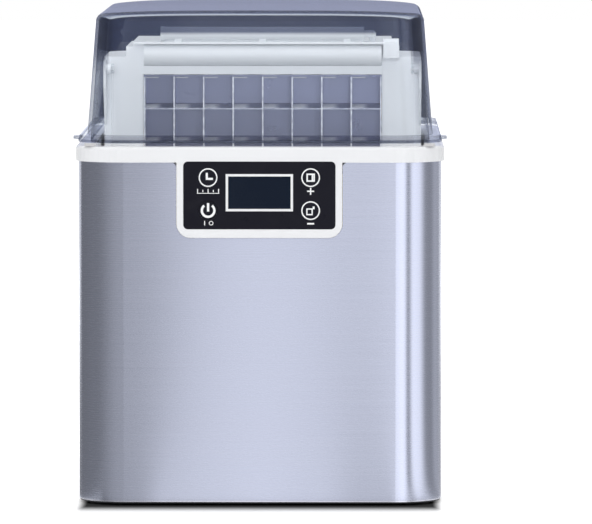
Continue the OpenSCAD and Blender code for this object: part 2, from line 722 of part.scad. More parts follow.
module evaporator_housing() {
  panel_z0 = grid_z0 - 5;
  color("white") difference() {
    union() {
      difference() {
        intersection() {
          slab(2 * case_hw, case_front, case_back, 1, case_r, ring_top, case_top + 1);
          translate([0, case_back, 0]) rotate([90, 0, 0]) linear_extrude(case_back - case_front)
            step_outline(0, ring_top);
        }
        intersection() {
          slab(2 * (case_hw - case_t), case_front + case_t, case_back - case_t, 0.5, case_r - case_t,
            ring_top - 1, case_top + 1);
          translate([0, case_back, 0]) rotate([90, 0, 0]) linear_extrude(case_back - case_front)
            step_outline(case_t, ring_top - 1);
        }
      }
      translate([-case_hw, case_front, panel_z0]) cube([2 * case_hw, case_t, ring_top - panel_z0 + 1]);
      translate([-top_x, case_front - shelf_d, case_top - case_t]) cube([2 * top_x, shelf_d + 1, case_t]);
      translate([grid_w / 2 + 2, case_front - shelf_d, shoulder_z - 1])
        cube([12.8, shelf_d + 1, case_top + 2.5 - shoulder_z + 1]);
      for (side = [-1, 1]) translate([side * (case_hw - case_t / 2) - case_t / 2, 0, 0]) {
        rod_x(7, 0, case_t, curtain_y, curtain_z);
        translate([case_t, 0, 0]) rotate([90, 0, -90]) linear_extrude(case_t) polygon([
          [-curtain_y + 7, curtain_z], [-curtain_y + 7, curtain_z - 16], [-case_front, ring_top + 8],
          [-case_front - 1, ring_top + 8], [-case_front - 1, curtain_z + 7], [-curtain_y, curtain_z + 7]]);
      }
      for (side = [-1, 1]) {
        side_rod(side, curtain_boss, curtain_hw + gap, case_hw - 1, curtain_y, curtain_z);
        side_rod(side, curtain_pin, curtain_hw - boss_w, case_hw - 1, curtain_y, curtain_z);
      }
    }
    translate([-grid_w / 2 - fin_t / 2 - window_gap, case_front - 1, grid_z0 - fin_t - window_gap])
      cube([grid_w + fin_t + 2 * window_gap, case_t + 2, grid_h + 2 * fin_t + 2 * window_gap + 2.2]);
    translate([water_in_x, hose_y, case_top - 10]) cylinder(r = barb_r + gap, h = 20, $fn = curve);
  }
}

module water_tube() {
  color("ghostwhite") difference() {
    union() {
      rod_x(water_r, -water_len / 2, water_len / 2, water_y, water_z);
      rod_x(water_r + 0.7, -water_len / 2 - 0.5, -water_len / 2 + 3, water_y, water_z);
      bent_tube([[water_len / 2 - 2, water_y, water_z], [water_in_x, water_y, water_z],
        [water_in_x, hose_y, water_z], [water_in_x, hose_y, hose_turn_z + 4]], barb_r - 0.4);
      for (x = [-water_len / 2 + 14, 0, water_len / 2 - 14])
        translate([x - 3, water_y - 4, case_top]) cube([6, 8, water_r]);
    }
    for (i = [0 : cells_x - 1]) translate([(i + 0.5 - cells_x / 2) * cell_pitch * 0.82, water_y - 2.5, case_top])
      cylinder(r = 1, h = water_r, $fn = 24);
  }
}

module deflector_bar() {
  color("white") intersection() {
    rod_x(bar_r, -grid_w / 2 - 0.5, grid_w / 2 + 0.5, case_front, bar_z);
    translate([-grid_w, case_front - 20, bar_z - 20]) cube([2 * grid_w, 20, 40]);
  }
}

module water_curtain() {
  y0 = curtain_y - curtain_t / 2;
  cut_x = 7.8;
  cut_z = 12.7;
  color([0.8, 0.88, 0.95, 0.4]) difference() {
    union() {
      translate([0, y0 + curtain_t, 0]) rotate([90, 0, 0]) linear_extrude(curtain_t) polygon([
        [-curtain_hw, curtain_z0], [-curtain_hw, curtain_top - cut_z], [-curtain_hw + cut_x, curtain_top],
        [curtain_hw - cut_x, curtain_top], [curtain_hw, curtain_top - cut_z], [curtain_hw, curtain_z0]]);
      translate([-curtain_hw, y0 - 2.4, curtain_z0]) cube([2 * curtain_hw, 2.4 + eps, 1.6]);
      for (side = [-1, 1]) {
        translate([side * (curtain_hw - 1) - 1, y0 - 2.4, curtain_z0]) cube([2, 2.4 + eps, grid_h]);
        side_rod(side, curtain_boss, curtain_hw - boss_w, curtain_hw, curtain_y, curtain_z);
      }
    }
    for (side = [-1, 1])
      side_rod(side, curtain_pin + run, curtain_hw - boss_w - gap, curtain_hw + 1, curtain_y, curtain_z);
  }
}

module ice_sensor(side) {
  depth = 8;
  color("dimgray") {
    translate([side * (bay_hw - depth / 2) - depth / 2, basket_y0 + basket_run / 2 - 10, sensor_z])
      cube([depth, 20, 18]);
    rod_x(3, side * (bay_hw - depth - 0.5) - 1.5, side * (bay_hw - depth - 0.5) + 1.5,
      basket_y0 + basket_run / 2, sensor_z + 9);
  }
}
module ice_sensor_left() ice_sensor(-1);
module ice_sensor_right() ice_sensor(1);

// Bars that slope down to the basket, on a front and a rear cross bar
module chute_grille() {
  width = 2 * bay_hw - 0.6;
  drop = atan(chute_rise / (chute_back - chute_front));
  length = (chute_back - chute_front) / cos(drop);
  color("white") translate([0, chute_front, chute_z]) rotate([drop, 0, 0]) {
    for (i = [0 : chute_bars - 1])
      translate([-width / 2 + 1 + i * (width - 5) / (chute_bars - 1), 0, 0]) cube([3, length, 4]);
    for (y = [0, length - 4]) translate([-width / 2, y, -2]) cube([width, 4, 4]);
  }
}

// A tapered tub, its walls drawn in by t
module basket_block(t, z0, z1) {
  hull() {
    translate([0, 0, z0]) linear_extrude(eps) plan(basket_span - 8 - 2 * basket_taper - 2 * t,
      basket_y0 + 4 + basket_taper + t, basket_y0 + basket_run - 4 - basket_taper - t, 14 - t, 14 - t, $fn = 40);
    translate([0, 0, z1]) linear_extrude(eps) plan(basket_span - 8 - 2 * t, basket_y0 + 4 + t,
      basket_y0 + basket_run - 4 - t, 16 - t, 16 - t, $fn = 40);
  }
}

module ice_basket() {
  z1 = basket_z0 + basket_h;
  mid_y = basket_y0 + basket_run / 2;
  slot_h = basket_h * 0.5;
  color("aliceblue") difference() {
    union() {
      basket_block(0, basket_z0, z1 - eps);
      slab(basket_span, basket_y0, basket_y0 + basket_run, 19, 19, z1 - 2.5, z1);
    }
    basket_block(basket_t, basket_z0 + basket_t, z1 + 1);
    for (i = [-7 : 7]) translate([i * 13 - 1.5, basket_y0 - 5, basket_z0 + 18]) cube([3, basket_run + 10, slot_h]);
    for (j = [-3 : 3]) translate([-basket_span, mid_y + j * 13 - 1.5, basket_z0 + 18]) cube([2 * basket_span, 3, slot_h]);
    for (i = [-7 : 7]) for (row = [-1, 1]) translate([i * 13 - 1.5, mid_y + row * 26 - 19, basket_z0 - 1])
      cube([3, 38, 5]);
  }
}

module water_pump() {
  color("dimgray") {
    translate([hose_x, hose_y, pump_z0]) {
      cylinder(r = pump_r, h = pump_h - 4, $fn = curve);
      translate([0, 0, pump_h - 4]) cylinder(r1 = pump_r, r2 = pump_r - 5, h = 4, $fn = curve);
      translate([0, 0, -7]) cylinder(r = pump_r - 4, h = 8, $fn = curve);
      cylinder(r = barb_r - 0.4, h = pump_h + 9, $fn = curve);
    }
  }
}

module pump_strainer() {
  color("white") translate([hose_x, hose_y, bay_floor]) difference() {
    cylinder(r = pump_r, h = 10, $fn = curve);
    translate([0, 0, 1.5]) cylinder(r = pump_r - 2, h = 10, $fn = curve);
    for (a = [0 : 20 : 340]) rotate([0, 0, a]) translate([pump_r - 3, -1, 3]) cube([5, 2, 5]);
  }
}

// The hose climbs beside the grid from the pump to the water tube; both ends are open sleeves
module water_hose() {
  z0 = pump_z0 + pump_h + gap;
  z1 = hose_turn_z + 12;
  color([0.85, 0.88, 0.9]) difference() {
    bent_tube([[hose_x, hose_y, z0], [hose_x, hose_y, hose_turn_z], [water_in_x, hose_y, hose_turn_z],
      [water_in_x, hose_y, z1]], hose_r);
    translate([hose_x, hose_y, z0 - 1]) cylinder(r = barb_r, h = 11, $fn = curve);
    translate([water_in_x, hose_y, hose_turn_z + 3]) cylinder(r = barb_r, h = 20, $fn = curve);
  }
}

module float_stem() {
  color("white") translate([float_x, float_y, bay_floor]) {
    cylinder(r = 8, h = 2, $fn = curve);
    cylinder(r = stem_r, h = 12 + float_h + float_lift, $fn = curve);
    cylinder(r = 6, h = 6, $fn = curve);
    translate([0, 0, 10 + float_h + float_lift]) cylinder(r = 6, h = 2, $fn = curve);
  }
}

module level_float() {
  color("white") translate([float_x, float_y, bay_floor + 6 + gap]) difference() {
    cylinder(r = float_r, h = float_h, $fn = curve);
    translate([0, 0, -1]) cylinder(r = stem_r + run, h = float_h + 2, $fn = curve);
  }
}

module drain_tube() {
  color("lightgray") difference() {
    bent_tube([[0, 0, bay_floor - liner_t], [0, 0, drain_z], [0, panel_y + 3, drain_z]], drain_r);
    rod_y(drain_bore, 5, panel_y + 5, 0, drain_z);
    translate([0, 0, drain_z]) cylinder(r = drain_bore, h = bay_floor, $fn = curve);
    translate([0, 0, drain_z]) sphere(r = drain_bore, $fn = curve);
    rod_y(drain_bore, 0, 10, 0, drain_z);
  }
}

module drain_plug() {
  color("dimgray") {
    rod_y(drain_bore - run, panel_y - 12, panel_y + 4, 0, drain_z);
    rod_y(8, panel_y + 3 + gap, panel_y + 6, 0, drain_z);
  }
}

module compressor() {
  round_r = 18;
  color([0.15, 0.15, 0.16]) {
    translate([can_x, can_y, can_z0]) {
      rotate_extrude($fn = 96) {
        square([can_r - round_r, can_h]);
        translate([0, round_r]) square([can_r, can_h - 2 * round_r]);
        intersection() {
          square([can_r, can_h]);
          for (z = [round_r, can_h - round_r]) translate([can_r - round_r, z]) circle(r = round_r, $fn = curve);
        }
        translate([0, can_h * 0.55]) square([can_r + 2, 3]);
      }
      translate([-50, -50, -2.5]) difference() {
        cube([100, 100, 2.5 + eps]);
        for (x = [50 - mount_span, 50 + mount_span]) for (y = [50 - mount_span, 50 + mount_span])
          translate([x, y, -1]) cylinder(r = 4.2, h = 5, $fn = curve);
      }
      rod_x(14, -can_r - 3, 0, 0, can_h * 0.4);
      translate([22, 0, can_h - 6]) cylinder(r = 5, h = 12, $fn = curve);
      translate([-23, 0, can_h - 6]) cylinder(r = 6, h = 12, $fn = curve);
    }
  }
}

module compressor_mounts() {
  color("black") for (x = [-mount_span, mount_span]) for (y = [-mount_span, mount_span])
    translate([can_x + x, can_y + y, pan_top]) {
      cylinder(r = 7, h = can_z0 - 2.5 - pan_top, $fn = curve);
      cylinder(r = 4, h = can_z0 - pan_top + 2, $fn = curve);
    }
}

module terminal_cover() {
  color([0.2, 0.2, 0.2]) translate([can_x - can_r - 3 - 14, can_y - 16, can_z0 + can_h * 0.4 - 18]) difference() {
    cube([14, 32, 36]);
    translate([2, 2, 2]) cube([13, 28, 32]);
  }
}

module condenser() {
  pitch = (condenser_x1 - condenser_x0 - 6) / (condenser_fins - 1);
  rows = [for (k = [0 : 4]) condenser_z0 + condenser_h * (k + 0.5) / 5];
  color("silver") {
    for (i = [0 : condenser_fins - 1])
      translate([condenser_x0 + 3 + i * pitch - 0.3, condenser_y0 + 1, condenser_z0 + 1])
        cube([0.6, condenser_d - 2, condenser_h - 2]);
    for (x = [condenser_x0, condenser_x1 - 1.2]) translate([x, condenser_y0, pan_top])
      cube([1.2, condenser_d, condenser_z0 - pan_top + condenser_h]);
  }
  color("chocolate") for (z = rows) rod_x(3, condenser_x0 - 2, condenser_x1 + 0.6, drier_y, z);
}

module fan_shroud() {
  w = condenser_x1 - condenser_x0;
  z1 = condenser_z0 + condenser_h;
  color("darkgray") {
    difference() {
      union() {
        translate([condenser_x0, shroud_y, pan_top]) cube([w, 2, z1 - pan_top]);
        difference() {
          translate([condenser_x0, shroud_y, condenser_z0]) cube([w, condenser_y0 - shroud_y, condenser_h]);
          translate([condenser_x0 + 2, shroud_y + 1, condenser_z0 + 2])
            cube([w - 4, 20, condenser_h - 4]);
        }
        rod_y(shroud_r + 2, arm_y, shroud_y + 2, fan_x, fan_z);
      }
      rod_y(shroud_r, arm_y - 1, shroud_y + 3, fan_x, fan_z);
    }
    difference() {
      union() {
        rod_y(17, arm_y, arm_y + 4, fan_x, fan_z);
        translate([fan_x, arm_y, fan_z]) for (a = [90, 210, 330]) rotate([0, a, 0])
          translate([10, 0, -3]) cube([shroud_r - 9, 4, 6]);
      }
      rod_y(shaft_r + 1, arm_y - 1, arm_y + 5, fan_x, fan_z);
    }
  }
}

module fan_motor() {
  color("dimgray") {
    rod_y(15, arm_y - 20, arm_y, fan_x, fan_z);
    rod_y(6, arm_y - 24, arm_y - 19, fan_x, fan_z);
    rod_y(shaft_r, arm_y - 1, rotor_y + rotor_d - 1, fan_x, fan_z);
  }
}

module fan_rotor() {
  color("black") translate([fan_x, rotor_y, fan_z]) rotate([-90, 0, 0]) difference() {
    union() {
      cylinder(r = 13, h = rotor_d, $fn = curve);
      intersection() {
        cylinder(r = fan_r, h = rotor_d, $fn = curve);
        for (i = [0 : fan_blades - 1]) rotate([0, 0, i * 360 / fan_blades])
          translate([8, 0, rotor_d / 2]) rotate([35, 0, 0]) translate([0, -0.8, -14]) cube([50, 1.6, 28]);
      }
    }
    translate([0, 0, -1]) cylinder(r = shaft_r + run, h = rotor_d + 2, $fn = curve);
  }
}

module filter_drier() {
  z0 = condenser_z0 + condenser_h * 0.1;
  color("chocolate") {
    translate([0, drier_y, z0 + 8]) cylinder(r1 = 3, r2 = 9, h = 8, $fn = curve);
    translate([0, drier_y, z0 + 16]) cylinder(r = 9, h = 44, $fn = curve);
    translate([0, drier_y, z0 + 60]) cylinder(r1 = 9, r2 = 2.5, h = 8, $fn = curve);
    bent_tube([[condenser_x0 - 2, drier_y, z0], [0, drier_y, z0], [0, drier_y, z0 + 9]], 2.5);
  }
}

module capillary_tube() {
  z0 = condenser_z0 + condenser_h * 0.1 + 68;
  wire = 1.2;
  coil_y1 = drier_y - 12;
  inlet_z = grid_z0 + cell_h / 2 - coil_r - 2.5 - gap;
  color("peru") {
    bent_tube([[0, drier_y, z0], [0, drier_y, z0 + 12]], wire);
    for (k = [0 : 4]) translate([0, coil_y1, z0 + 12 + 2 * k]) rotate_extrude($fn = curve)
      translate([12, 0]) circle(r = wire, $fn = 24);
    bent_tube([[-12, coil_y1, z0 + 20], [-12, coil_y1, inlet_z - 22], [-coil_x, tube_end_y - 3.5, inlet_z - 22],
      [-coil_x, tube_end_y - 3.5, inlet_z]], wire);
  }
}

module hot_gas_valve() {
  x = -coil_x + 42;
  z = grid_z0 + cell_h / 2;
  y = tube_end_y - 3.5;
  color("goldenrod") {
    rod_x(2.5, -coil_x + coil_r + 2.5 + gap, x, y, z);
    rod_x(6, x - 12, x + 6, y, z);
    bent_tube([[x, y, z], [x, y, z - 42], [x, can_y - 9, can_z0 + can_h + 28],
      [can_x + 22, can_y - 12, can_z0 + can_h + 28],
      [can_x + 22, can_y - 3.4, can_z0 + can_h + 28]], 2.5);
  }
  color("dimgray") translate([x - 11, y - 8, z + 5]) cube([18, 16, 22]);
}

module discharge_tube() {
  z = can_z0 + can_h + 28;
  color("chocolate") bent_tube([[can_x + 22, can_y, can_z0 + can_h + 6], [can_x + 22, can_y, z],
    [-18, drier_y - 6, z], [condenser_x0 - 8, drier_y, condenser_z0 + condenser_h * 0.9],
    [condenser_x0 - 2, drier_y, condenser_z0 + condenser_h * 0.9]], 3);
}

module suction_tube() {
  x = can_x - 23;
  color("peru") bent_tube([[-coil_exit_x, tube_end_y, coil_exit_z], [-coil_exit_x, tube_end_y + 12, coil_exit_z],
    [-coil_exit_x, tube_end_y + 12, coil_exit_z - 60], [x, can_y, can_z0 + can_h + 22],
    [x, can_y, can_z0 + can_h + 6]], 3.6);
}

module main_board() {
  x0 = power_x0;
  z0 = jacket_top - power_h - 10;
  y = jacket_back + 6;
  relay_pitch = (power_w - 53) / 3;
  color("green") translate([x0, y, z0]) cube([power_w, board_t, power_h]);
  color("dimgray") for (x = [x0 + 6, x0 + power_w - 6]) for (z = [z0 + 6, z0 + power_h - 6])
    rod_y(3, jacket_back, y + eps, x, z);
  color("goldenrod") translate([x0 + 8, y + board_t - eps, z0 + 12]) cube([32, 20, 26]);
  color("black") {
    for (k = [0, 1, 2]) translate([x0 + 50 + k * relay_pitch, y + board_t - eps, z0 + 10])
      cube([relay_pitch - 4, 16, 20]);
    for (k = [0, 1]) rod_y(6, y + board_t - 0.1, y + 20, x0 + 54 + k * 16, z0 + 48);
    translate([x0 + 10, y + board_t - eps, z0 + 62]) cube([44, 9, 7]);
  }
}

// The lead between the two boards, round the liner's front corner and along its side
module wiring_harness() {
  wire = 2;
  bend_r = bay_r + liner_t + wire + 1.2;
  centre = [bay_hw - bay_r, bay_front + bay_r];
  z = jacket_top + wire + gap;
  board_z = jacket_top - 30;
  color("dimgray") {
    rod_x(wire, board_w / 2 + gap, centre[0], centre[1] - bend_r, z);
    translate([centre[0], centre[1], z]) rotate([0, 0, -90]) rotate_extrude(angle = 90, $fn = curve)
      translate([bend_r, 0]) circle(r = wire, $fn = 24);
    bent_tube([[centre[0] + bend_r, centre[1], z], [centre[0] + bend_r, jacket_back + wire + 2, z],
      [centre[0] + bend_r, jacket_back + wire + 2, board_z], [power_x0 + power_w + gap, jacket_back + wire + 2, board_z]], wire,
      1.2);
    rod_x(wire + 0.2, centre[0] - 3, centre[0] + 1, centre[1] - bend_r, z);
    rod_y(wire + 0.2, centre[1] - 1, centre[1] + 3, centre[0] + bend_r, z);
  }
}

module cord_gland() {
  color("black") difference() {
    union() {
      rod_y(7, panel_y - 4, panel_y + panel_t + 1, gland_x, gland_z);
      rod_y(9.5, panel_y + panel_t, panel_y + panel_t + 2.5, gland_x, gland_z);
      rod_y(9.5, panel_y - 5, panel_y, gland_x, gland_z);
    }
    rod_y(gland_bore, panel_y - 8, panel_y + 8, gland_x, gland_z);
  }
}

base_pan();
feet();
steel_shell();
rear_panel();
panel_screws();
top_ring();
control_overlay();
display_bezel();
lcd_module();
display_board();
key_timer();
key_power();
key_plus();
key_minus();
lid();
lid_bumpers();
hinge_pins();
insulation_jacket();
liner();
evaporator_grid();
refrigerant_coil();
evaporator_housing();
water_tube();
deflector_bar();
water_curtain();
ice_sensor_left();
ice_sensor_right();
chute_grille();
ice_basket();
water_pump();
pump_strainer();
water_hose();
float_stem();
level_float();
drain_tube();
drain_plug();
compressor();
compressor_mounts();
terminal_cover();
condenser();
fan_shroud();
fan_motor();
fan_rotor();
filter_drier();
capillary_tube();
hot_gas_valve();
discharge_tube();
suction_tube();
main_board();
wiring_harness();
cord_gland();
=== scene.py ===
import math

import bpy
import numpy as np
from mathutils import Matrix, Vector


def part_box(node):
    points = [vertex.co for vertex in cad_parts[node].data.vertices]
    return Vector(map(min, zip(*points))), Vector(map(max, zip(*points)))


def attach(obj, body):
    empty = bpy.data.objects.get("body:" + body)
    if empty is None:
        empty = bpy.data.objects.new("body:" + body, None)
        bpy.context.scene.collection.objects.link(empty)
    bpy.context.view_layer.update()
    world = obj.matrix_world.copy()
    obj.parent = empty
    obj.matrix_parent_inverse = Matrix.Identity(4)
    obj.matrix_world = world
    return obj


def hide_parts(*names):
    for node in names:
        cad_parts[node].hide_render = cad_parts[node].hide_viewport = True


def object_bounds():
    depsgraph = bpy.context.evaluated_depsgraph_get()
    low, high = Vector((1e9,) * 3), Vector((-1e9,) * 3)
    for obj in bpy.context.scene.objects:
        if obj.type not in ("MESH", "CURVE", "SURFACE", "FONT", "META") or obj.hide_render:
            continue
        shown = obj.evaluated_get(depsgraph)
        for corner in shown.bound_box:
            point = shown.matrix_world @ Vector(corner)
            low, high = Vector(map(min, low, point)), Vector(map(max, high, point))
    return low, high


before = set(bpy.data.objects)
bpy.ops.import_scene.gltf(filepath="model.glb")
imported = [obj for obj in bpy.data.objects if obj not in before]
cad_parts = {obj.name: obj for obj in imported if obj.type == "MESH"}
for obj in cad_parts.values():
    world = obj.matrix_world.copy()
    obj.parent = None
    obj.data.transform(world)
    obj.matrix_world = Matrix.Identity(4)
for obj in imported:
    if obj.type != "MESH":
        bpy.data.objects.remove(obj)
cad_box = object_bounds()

# ---------------------------------------------------------------- camera
# A long lens five metres in front of the ice maker, a little above it and a touch to its right.
# It looks at a point beside the middle of the front, so that the body stands left of the centre.
camera_distance = 4.96
camera_azimuth, camera_elevation = math.radians(0.5), math.radians(4.06)
sight_beside, sight_height = 0.0293, 0.1964
sight = Vector((sight_beside, cad_box[0].y, sight_height))
camera_data = bpy.data.cameras.new("camera")
camera_data.sensor_width, camera_data.lens = 36, 377
camera_data.clip_end = 60
camera = bpy.data.objects.new("camera", camera_data)
bpy.context.scene.collection.objects.link(camera)
bpy.context.scene.camera = camera
bpy.context.scene.view_settings.view_transform = "Standard"
towards_camera = Vector((
    math.sin(camera_azimuth) * math.cos(camera_elevation),
    -math.cos(camera_azimuth) * math.cos(camera_elevation),
    math.sin(camera_elevation)))
camera.location = sight + camera_distance * towards_camera
camera.rotation_euler = (-towards_camera).to_track_quat("-Z", "Y").to_euler()


# ---------------------------------------------------------------- studio
# A white room: an even world, with soft lamps overhead and on all four sides. Grey cards stand round
# the front and sides, which only glossy surfaces see. The floor is white paper, with a shadow painted
# on it round the body.
def mesh_object(name, points, faces):
    """A mesh object at the origin from an array of points (n, 3) and a list or array of faces."""
    mesh = bpy.data.meshes.new(name)
    corners = [np.asarray(face).tolist() for face in faces]
    mesh.from_pydata(np.asarray(points, float).reshape(-1, 3).tolist(), [], corners)
    mesh.update()
    made = bpy.data.objects.new(name, mesh)
    bpy.context.scene.collection.objects.link(made)
    return made


def new_material(name):
    """A node material with its Principled shader: (material, node tree, shader)."""
    material = bpy.data.materials.new(name)
    material.use_nodes = True
    tree = material.node_tree
    return material, tree, tree.nodes["Principled BSDF"]


def math_node(tree, operation, a, b=None, clamp=False):
    """A Math node on two sockets or numbers, and its result."""
    node = tree.nodes.new("ShaderNodeMath")
    node.operation, node.use_clamp = operation, clamp
    for socket, value in zip(node.inputs, (a, b)):
        if isinstance(value, (int, float)):
            socket.default_value = value
        elif value is not None:
            tree.links.new(value, socket)
    return node.outputs[0]


def times(tree, a, b):
    """The product of two sockets or numbers."""
    return math_node(tree, "MULTIPLY", a, b)


def smooth_step(tree, value, start, end, rise=1.0):
    """0 on start's side and rise on end's side, with 3t^2 - 2t^3 of the rise between them."""
    step = tree.nodes.new("ShaderNodeMapRange")
    step.interpolation_type = "SMOOTHSTEP"
    for label, number in (("From Min", start), ("From Max", end), ("To Max", rise)):
        step.inputs[label].default_value = number
    tree.links.new(value, step.inputs["Value"])
    return step.outputs[0]


def axes(tree, coordinate="Object"):
    """The X, Y and Z outputs of a texture coordinate."""
    parts = tree.nodes.new("ShaderNodeSeparateXYZ")
    tree.links.new(tree.nodes.new("ShaderNodeTexCoord").outputs[coordinate], parts.inputs[0])
    return parts.outputs


def seen_directly(tree):
    """1 for rays from the camera, off a glossy surface or through clear plastic, and 0 for the rest."""
    path = tree.nodes.new("ShaderNodeLightPath")
    straight = math_node(tree, "ADD", path.outputs["Is Camera Ray"], path.outputs["Is Glossy Ray"])
    return math_node(tree, "ADD", straight, path.outputs["Is Transmission Ray"], clamp=True)


world_level = 0.60
world = bpy.data.worlds.new("white_room")
bpy.context.scene.world = world
world.use_nodes = True
background = world.node_tree.nodes["Background"]
background.inputs["Color"].default_value = (1, 1, 1, 1)
lift = times(world.node_tree, seen_directly(world.node_tree), 1 - world_level)
world.node_tree.links.new(math_node(world.node_tree, "ADD", lift, world_level), background.inputs["Strength"])


def softbox(name, place, aim_height, size, power):
    """A square lamp that the camera and glossy surfaces don't see, aimed over the middle of the floor."""
    lamp = bpy.data.lights.new(name, "AREA")
    lamp.shape, lamp.size, lamp.size_y, lamp.energy = "RECTANGLE", size, size, power
    made = bpy.data.objects.new(name, lamp)
    made.location = place
    made.rotation_euler = (Vector((0, 0, aim_height)) - Vector(place)).to_track_quat("-Z", "Y").to_euler()
    made.visible_camera = False
    made.visible_glossy = False
    bpy.context.scene.collection.objects.link(made)


softbox("overhead_softbox", (0, -0.5, 2.2), 0.2, 1.6, 12)
softbox("front_softbox", (-0.3, -2.7, 0.85), 0.3, 1.2, 20)
softbox("right_softbox", (2.4, 0.2, 0.9), 0.2, 1.2, 10)
softbox("left_softbox", (-2.4, 0.2, 0.9), 0.2, 1.2, 10)
softbox("rear_softbox", (0.4, 2.6, 0.9), 0.2, 1.2, 16)


def card_material(name, stops, hue=(1, 1, 1.04), place=None):
    """A plain grey that glows, its level following stops of (place, level), each step a smooth one. The
    place is x across the room in metres, or what the given function makes of x and y."""
    material, tree, shader = new_material(name)
    shader.inputs["Base Color"].default_value = (0, 0, 0, 1)
    shader.inputs["Specular IOR Level"].default_value = 0
    shader.inputs["Emission Color"].default_value = (*hue, 1)
    x, y = axes(tree)[:2]
    along = place(tree, x, y) if place else x
    level = stops[0][1]
    for (start, from_level), (end, to_level) in zip(stops, stops[1:]):
        level = math_node(tree, "ADD", smooth_step(tree, along, start, end, to_level - from_level), level)
    tree.links.new(level, shader.inputs["Emission Strength"])
    return material


def card(name, corners, material):
    """A flat card that only glossy rays see."""
    made = mesh_object(name, corners, [(0, 1, 2, 3)])
    made.data.materials.append(material)
    for ray in ("camera", "diffuse", "transmission", "volume_scatter", "shadow"):
        setattr(made, "visible_" + ray, False)


room = 1.2
ahead = -0.9
card_height, card_lift, card_gap = 1.2, 0.0015, 0.004


def wall_card(name, x0, y0, x1, y1, material):
    """A card standing on the floor from (x0, y0) to (x1, y1)."""
    card(name, [(x0, y0, card_lift), (x1, y1, card_lift), (x1, y1, card_height), (x0, y0, card_height)],
        material)


def floor_card(name, x0, y0, x1, y1, material):
    """A card lying just over the floor."""
    card(name, [(x0, y0, card_lift), (x1, y0, card_lift), (x1, y1, card_lift), (x0, y1, card_lift)], material)


shell_low, shell_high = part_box("steel_shell")
fold_round = 0.037
fold_x, fold_y = shell_high.x - fold_round, shell_low.y + fold_round


def mirrored_at(tree, x, y):
    """The x on the body's front at which a place in the room is mirrored: x itself over the flat front, and
    beyond it fold_x + fold_round * sin(a / 2), where a is the angle of the place round the fold's axis."""
    side = math_node(tree, "ABSOLUTE", x)
    beyond = math_node(tree, "MAXIMUM", math_node(tree, "SUBTRACT", side, fold_x), 0.0)
    before = times(tree, math_node(tree, "SUBTRACT", y, fold_y), -1.0)
    half = times(tree, math_node(tree, "ARCTAN2", beyond, before), 0.5)
    on_fold = times(tree, math_node(tree, "SINE", half), fold_round)
    on_body = math_node(tree, "ADD", math_node(tree, "MINIMUM", side, fold_x), on_fold)
    return times(tree, on_body, math_node(tree, "SIGN", x))


# The steel mirrors this grey: dim at the left fold, bright over the middle, then two bright and two
# dark bands in the right fold.
room_grey = card_material("room_grey", [
    (-0.146, 0.21), (-0.132, 0.25), (-0.112, 0.46), (-0.100, 0.54), (-0.076, 0.94), (-0.045, 0.98),
    (0.0, 1.03), (0.045, 0.95), (0.085, 0.69), (0.105, 0.67), (0.114, 1.42), (0.1163, 1.38),
    (0.1187, 0.36), (0.1200, 0.42), (0.1225, 1.30), (0.1275, 1.22), (0.1335, 0.36), (0.1370, 0.33),
    (0.1405, 0.52), (0.146, 0.42)], place=mirrored_at)
body_low, body_high = cad_box
front_edge = body_low.y - card_gap
wall_card("front_card", -room, ahead, room, ahead, room_grey)
wall_card("left_card", -room, ahead, -room, room, room_grey)
wall_card("right_card", room, ahead, room, room, room_grey)
floor_card("front_floor_card", -room, ahead, room, front_edge, room_grey)
floor_card("left_floor_card", -room, front_edge, body_low.x - card_gap, room, room_grey)
floor_card("right_floor_card", body_high.x + card_gap, front_edge, room, room, room_grey)

# A cooler card stands behind the ice maker, which the lid's crown mirrors.
crown_grey = card_material("crown_grey", [(-room, 0.50), (0, 0.62), (room, 0.50)], (0.94, 0.98, 1.24))
behind_half, behind_y, behind_low, behind_high = 2, 1.9, 0.3, 1.4
card("behind_card", [(-behind_half, behind_y, behind_low), (behind_half, behind_y, behind_low),
    (behind_half, behind_y, behind_high), (-behind_half, behind_y, behind_high)], crown_grey)

# The floor: a painted shadow makes its paper dark under the body and close to it, and further out
# it is lifted to plain white.
floor_span = 12.0
floor = mesh_object("floor", [(-floor_span, -floor_span, 0), (floor_span, -floor_span, 0),
    (floor_span, floor_span, 0), (-floor_span, floor_span, 0)], [(0, 1, 2, 3)])
floor_paper, tree, shader = new_material("floor_paper")
shader.inputs["Roughness"].default_value = 0.9
shader.inputs["Specular IOR Level"].default_value = 0
shader.inputs["Emission Color"].default_value = (1, 1, 1, 1)
x, y = axes(tree)[:2]
tuck, shadow_reach, glow_reach = 0.012, 0.045, 0.12
shadow_paper_level, shadow_fade_rise, glow_mirrored, glow_seen = 0.04, 0.88, 0.17, 0.5
outside_x = math_node(tree, "SUBTRACT", math_node(tree, "ABSOLUTE", x), body_high.x - tuck)
outside_y = math_node(tree, "SUBTRACT", math_node(tree, "ABSOLUTE", y), body_high.y)


def away_from_body(reach):
    """0 under the body, 1 from its sides outwards, and 1 from a reach in front of it and behind it. Each
    step between them is a smooth one: over the last tuck of the body in x, and over the reach in y."""
    shares = math_node(tree, "DIVIDE", outside_x, tuck), math_node(tree, "DIVIDE", outside_y, reach)
    return smooth_step(tree, math_node(tree, "MAXIMUM", *shares), 0.0, 1.0)


# Painted shadow: the paper's colour is dark under the body and fades to pale over the tuck at its sides and
# over the reach in front of it and behind it.
paper = math_node(tree, "ADD", shadow_paper_level, times(tree, away_from_body(shadow_reach), shadow_fade_rise))
tree.links.new(paper, shader.inputs["Base Color"])
path = tree.nodes.new("ShaderNodeLightPath")
glow = math_node(tree, "ADD", times(tree, seen_directly(tree), glow_mirrored),
    times(tree, path.outputs["Is Camera Ray"], glow_seen))
tree.links.new(times(tree, away_from_body(glow_reach), glow), shader.inputs["Emission Strength"])
floor.data.materials.append(floor_paper)


